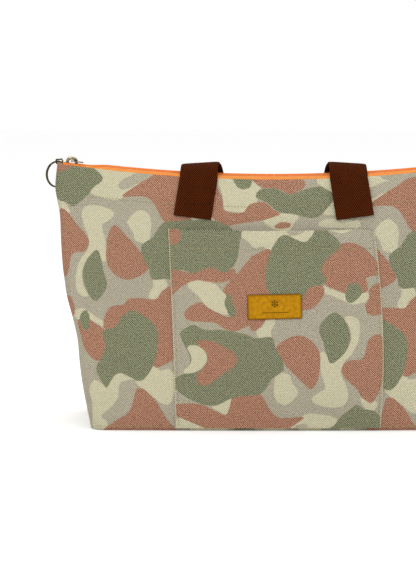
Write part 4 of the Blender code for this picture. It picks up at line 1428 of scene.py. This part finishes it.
def make_ring(materials):
    """The split ring, which is a wire of two turns, and the eye that it hangs from."""
    along = np.array((math.cos(RING_AZIMUTH), math.sin(RING_AZIMUTH), 0.0))
    out = np.array((-along[1], along[0], 0.0))
    up = np.array((0.0, 0.0, 1.0))
    low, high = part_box("key_ring")
    radius = (high.z - low.z) / 2 - RING_SLACK
    angle = np.linspace(RING_END, 4 * math.pi - RING_END, 130)
    crossing = (RING_END, 2 * math.pi - RING_CROSSING, 2 * math.pi + RING_CROSSING, 4 * math.pi)
    side = np.interp(angle, crossing, (-RING_SIDE, -RING_SIDE, RING_SIDE, RING_SIDE))
    wire = radius * (np.cos(angle)[:, None] * along + np.sin(angle)[:, None] * up)
    normal = np.cross(along, up)
    points = np.array((low + high) / 2) + wire + side[:, None] * normal
    ring = tube("split_ring", points, RING_WIRE, materials["steel"], up=normal)
    ride(ring, "ring", "ring_steel", "key_ring")

    turn = np.linspace(*EYE_TURN, 25)
    loop = np.array(EYE_CENTRE) + EYE_RADIUS * (np.cos(turn)[:, None] * out + np.sin(turn)[:, None] * up)
    route = np.concatenate((smooth_route(np.array(EYE_STEM_MM) * MM, 4), loop))
    eye = tube("ring_eye_wire", route, EYE_WIRE, materials["steel"], up=along)
    ride(eye, "bag", "antique_brass", "ring_eye")


def loop_width(share):
    """Width direction along a loop: across at its legs, and turned outwards at its middle."""
    turn = 0.5 - 0.5 * math.cos(math.pi * ramp((share - 0.25) / 0.75))
    outward = np.array((0.0, -math.cos(LOOP_TWIST), math.sin(LOOP_TWIST)))
    return unit(np.array((1.0, 0.0, 0.0)) * (1.0 - turn) + outward * turn)


def leg_route(side):
    """Centres and widths of the left leg, from its foot to the top edge."""
    foot_x, foot_z = LEG_FOOT
    head_z = top_height(LEG_HEAD_X) - LEG_HEAD_DROP
    off = side * (LEG_STAND_OFF + WEB_THICK / 2)
    centres = []
    widths = []
    for share in np.linspace(0.0, 1.0, LEG_POINTS):
        x = -(foot_x + (LEG_HEAD_X - foot_x) * share)
        z = foot_z + (head_z - foot_z) * share
        left_y = panel_y(x - WEB_WIDTH / 2, z, side) + off
        right_y = panel_y(x + WEB_WIDTH / 2, z, side) + off
        centres.append((x, (left_y + right_y) / 2, z))
        slant = -0.05 * WEB_WIDTH * (1.0 - share)
        widths.append(unit(np.array((WEB_WIDTH, right_y - left_y, slant))))
    return centres, widths


def loop_route(start, fall, stand_off):
    """Centres and widths of a loop's left half, from its fold down to its lowest point."""
    count = len(start) + len(fall)
    centres = [np.array(point) * MM for point in start]
    widths = [loop_width(i / (count - 1)) for i in range(count)]
    for width, (x, z) in zip(widths[len(start) :], fall):
        turned = abs(width[1]) * WEB_WIDTH / 2
        centres.append(np.array((x * MM, panel_depth(x * MM, z * MM) + stand_off + turned, z * MM)))
    return centres, widths


def handle_grid(centres, widths):
    """Mid-surface, thickness and weave places of a whole handle, from its left half and the mirror of it."""
    half = np.concatenate((np.array(centres), np.array(widths)), axis=1)
    mirror = half[-2::-1] * (-1.0, 1.0, 1.0, -1.0, 1.0, 1.0)
    route = smooth_route(np.concatenate((half, mirror)), ROUTE_STEPS)
    middle = route[:, :3]
    tangent = unit(np.gradient(middle, axis=0))
    width = unit(route[:, 3:] - tangent * (route[:, 3:] * tangent).sum(1, keepdims=True))
    across = np.sin(np.linspace(-math.pi / 2, math.pi / 2, 17)) * WEB_WIDTH / 2
    grid = middle[:, None] + width[:, None] * across[None, :, None]
    edge = WEB_THICK / 2 * (1.0 - WEB_EDGE_THINNING * (np.abs(across) / (WEB_WIDTH / 2)) ** 10)
    thick = np.cross(width, tangent)[:, None] * edge[None, :, None]
    return grid, thick, stack(across[None], run_along(middle)[:, None])


def handle_piece(name, handle, first, last, material):
    """One stretch of a handle, as a mesh."""
    grid, thick, cloth = (part[first : last + 1] for part in handle)
    piece = cloth_solid(name, grid + thick, grid - thick, material, cloth)
    return piece


def cut_handle(name, handle, cut, material):
    """A handle's left end, right end and loop, as three pieces."""
    last = len(handle[0]) - 1
    spans = (("left", 0, cut), ("right", last - cut, last), ("loop", cut, last - cut))
    return [handle_piece(f"{name}_handle_{part}", handle, start, end, material) for part, start, end in spans]


def bend(piece):
    """Bake a stretch of webbing's transform into its mesh."""
    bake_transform(piece)


def make_front_handle(webbing):
    """The front handle: both ends fold back over the zip with their legs, and the loop hangs behind."""
    leg, leg_width = leg_route(-1)
    fold = [(-LEG_HEAD_X + FOLD_INWARD * i, y * MM, z * MM) for i, (y, z) in enumerate(FOLD_ROUTE_MM)]
    across = [(1.0, 0.0, FOLD_TILT)] * len(fold)
    loop, loop_widths = loop_route(FRONT_LOOP_START_MM, FRONT_LOOP_FALL_MM, FRONT_LOOP_STAND_OFF)
    handle = handle_grid(leg + fold + loop, leg_width + across + loop_widths)
    left, right, middle = cut_handle("front", handle, (LEG_POINTS + FOLD_SPLIT) * ROUTE_STEPS, webbing)
    for name, piece in (("left", left), ("right", right)):
        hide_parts("handle_front_leg_" + name, "handle_front_fold_" + name)
        bend(piece)
    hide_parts("handle_front_loop")
    bend(middle)


def make_back_handle(webbing):
    """The back handle: two legs sewn to the back, and the loop that hangs from them."""
    leg, leg_width = leg_route(1)
    ends = [(-LEG_HEAD_X, y * MM, z * MM) for y, z in BACK_LEG_END_MM]
    across = [(1.0, 0.0, 0.0)] * len(ends)
    loop, loop_widths = loop_route(BACK_LOOP_START_MM, BACK_LOOP_FALL_MM, BACK_LOOP_STAND_OFF)
    handle = handle_grid(leg + ends + loop, leg_width + across + loop_widths)
    left, right, middle = cut_handle("back", handle, (LEG_POINTS + len(ends) - 1) * ROUTE_STEPS, webbing)
    for name, piece in (("left", left), ("right", right)):
        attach(piece, "bag")
        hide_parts("handle_back_leg_" + name)
    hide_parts("handle_back_loop")
    bend(middle)


def make_handle_stitching(materials):
    """A box of stitches through each leg."""
    paths = []
    for side in (-1, 1):
        for hand in (-1, 1):
            for across, z in rectangle_sides(HANDLE_BOX_HALF, *HANDLE_BOX_HEIGHTS, 10):
                x = hand * np.interp(z, (LEG_FOOT[1], TOP_CENTRE), (LEG_FOOT[0], LEG_HEAD_X)) + across
                y = panel_y(x, z, side) + side * (LEG_STAND_OFF + WEB_THICK + 0.05 * MM)
                paths.append((stack(x, y, z), (0.0, side, 0.15)))
    ride(stitches("handle_stitching", paths, materials["dark_thread"]), "bag", "cotton_webbing")


# The studio


def add_object(name, data, place, facing):
    """Put a light or a camera in the scene, facing along a direction."""
    obj = bpy.data.objects.new(name, data)
    obj.location = place
    obj.rotation_euler = facing.to_track_quat("-Z", "Y").to_euler()
    bpy.context.scene.collection.objects.link(obj)
    return obj


def make_lights():
    """Soft square lights that face the bag, in a white surround."""
    for name, place, size, power in LIGHTS:
        light = bpy.data.lights.new(name, "AREA")
        light.size = size
        light.energy = power
        add_object(name, light, place, Vector(LIGHT_TARGET) - Vector(place))
    world = bpy.data.worlds.new("studio_world")
    world.use_nodes = True
    background = world.node_tree.nodes["Background"]
    background.inputs["Color"].default_value = (1.0, 1.0, 1.0, 1.0)
    background.inputs["Strength"].default_value = 1.0
    bpy.context.scene.world = world
    bpy.context.scene.view_settings.view_transform = "Standard"


def make_floor(materials):
    """A pale floor, just under the bag."""
    x = np.array((-1.0, 1.0, 1.0, -1.0)) * FLOOR_HALF
    y = np.array((-1.0, -1.0, 1.0, 1.0)) * FLOOR_HALF
    add_mesh("studio_floor", stack(x, y, -FLOOR_DROP), [[0, 1, 2, 3]], materials["floor"])


def make_camera():
    """The camera, in front of the bag and a little above it."""
    camera = bpy.data.cameras.new("studio_camera")
    camera.sensor_width = SENSOR_MM
    camera.lens = SENSOR_MM * CAMERA_DISTANCE / FRAME_HEIGHT
    camera.shift_x = CAMERA_SHIFT
    camera.clip_end = 20.0
    back = Vector((0.0, -math.cos(CAMERA_RISE), math.sin(CAMERA_RISE))) * CAMERA_DISTANCE
    bpy.context.scene.camera = add_object("studio_camera", camera, CAMERA_AIM + back, -back)


def make_materials():
    """Every finish, by a short name."""
    nylon = (linear(196, 74, 10), linear(214, 94, 20))
    fibres = (linear(28, 27, 26), linear(58, 55, 52))
    paper = ((0.97, 0.97, 0.97, 1.0), (0.99, 0.99, 0.99, 1.0))
    return {
        "canvas": canvas_finish("printed_canvas", True),
        "piping": canvas_finish("piping_canvas", False, linear(196, 186, 150)),
        "webbing": webbing_finish(),
        "tape": tape_finish("zip_tape", linear(214, 104, 18), linear(230, 128, 36)),
        # The front tape: a paler copy of the zip tape, with painted light.
        "painted_light_tape": tape_finish("zip_tape_painted_light", linear(218, 126, 44), linear(230, 146, 66)),
        "coil": grain_finish("zip_coil", 0.4, 700.0, 2.0, nylon, 0.03 * MM, coat=0.1, specular=0.3),
        "leather": leather_finish(),
        "mark": metal_finish("label_mark", linear(52, 30, 12), linear(74, 46, 18), 0.7),
        "brass": metal_finish("antique_brass", linear(62, 54, 38), linear(176, 160, 128), 0.3),
        "steel": metal_finish("ring_steel", linear(44, 38, 20), linear(88, 76, 46), 0.34),
        "lining": lining_finish(),
        "foam": foam_finish(),
        "board": grain_finish("stiffener_board", 0.7, 600.0, 4.0, fibres, 0.1 * MM),
        "pale_thread": thread_finish("pale_thread", linear(128, 120, 86), linear(158, 150, 112)),
        "dark_thread": thread_finish("dark_thread", linear(22, 8, 3), linear(50, 22, 9)),
        "label_thread": thread_finish("label_thread", linear(104, 64, 6), linear(140, 92, 14)),
        "floor": grain_finish("studio_floor", 0.75, 40.0, 3.0, paper, 0.05 * MM),
    }


def main():
    """Build the bag's looks round the frame, then the studio."""
    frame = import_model()
    for obj in list(bpy.data.objects):
        if obj.type in ("LIGHT", "CAMERA") or obj.name == "Cube":
            bpy.data.objects.remove(obj, do_unlink=True)
    materials = make_materials()
    kept = (("base_board", "board", "stiffener_board"), ("zip_stop", "brass", "antique_brass"))
    for node, finish, slot in kept:
        obj = frame["nodes"][node]
        obj.data.materials.clear()
        obj.data.materials.append(materials[finish])
    make_canvas(materials)
    make_foam(materials)
    make_lining(materials)
    make_pocket(materials)
    make_label(materials)
    make_seams(materials)
    make_zip(materials)
    make_slider(materials)
    make_ring(materials)
    make_front_handle(materials["webbing"])
    make_back_handle(materials["webbing"])
    make_handle_stitching(materials)
    make_floor(materials)
    make_lights()
    make_camera()


main()
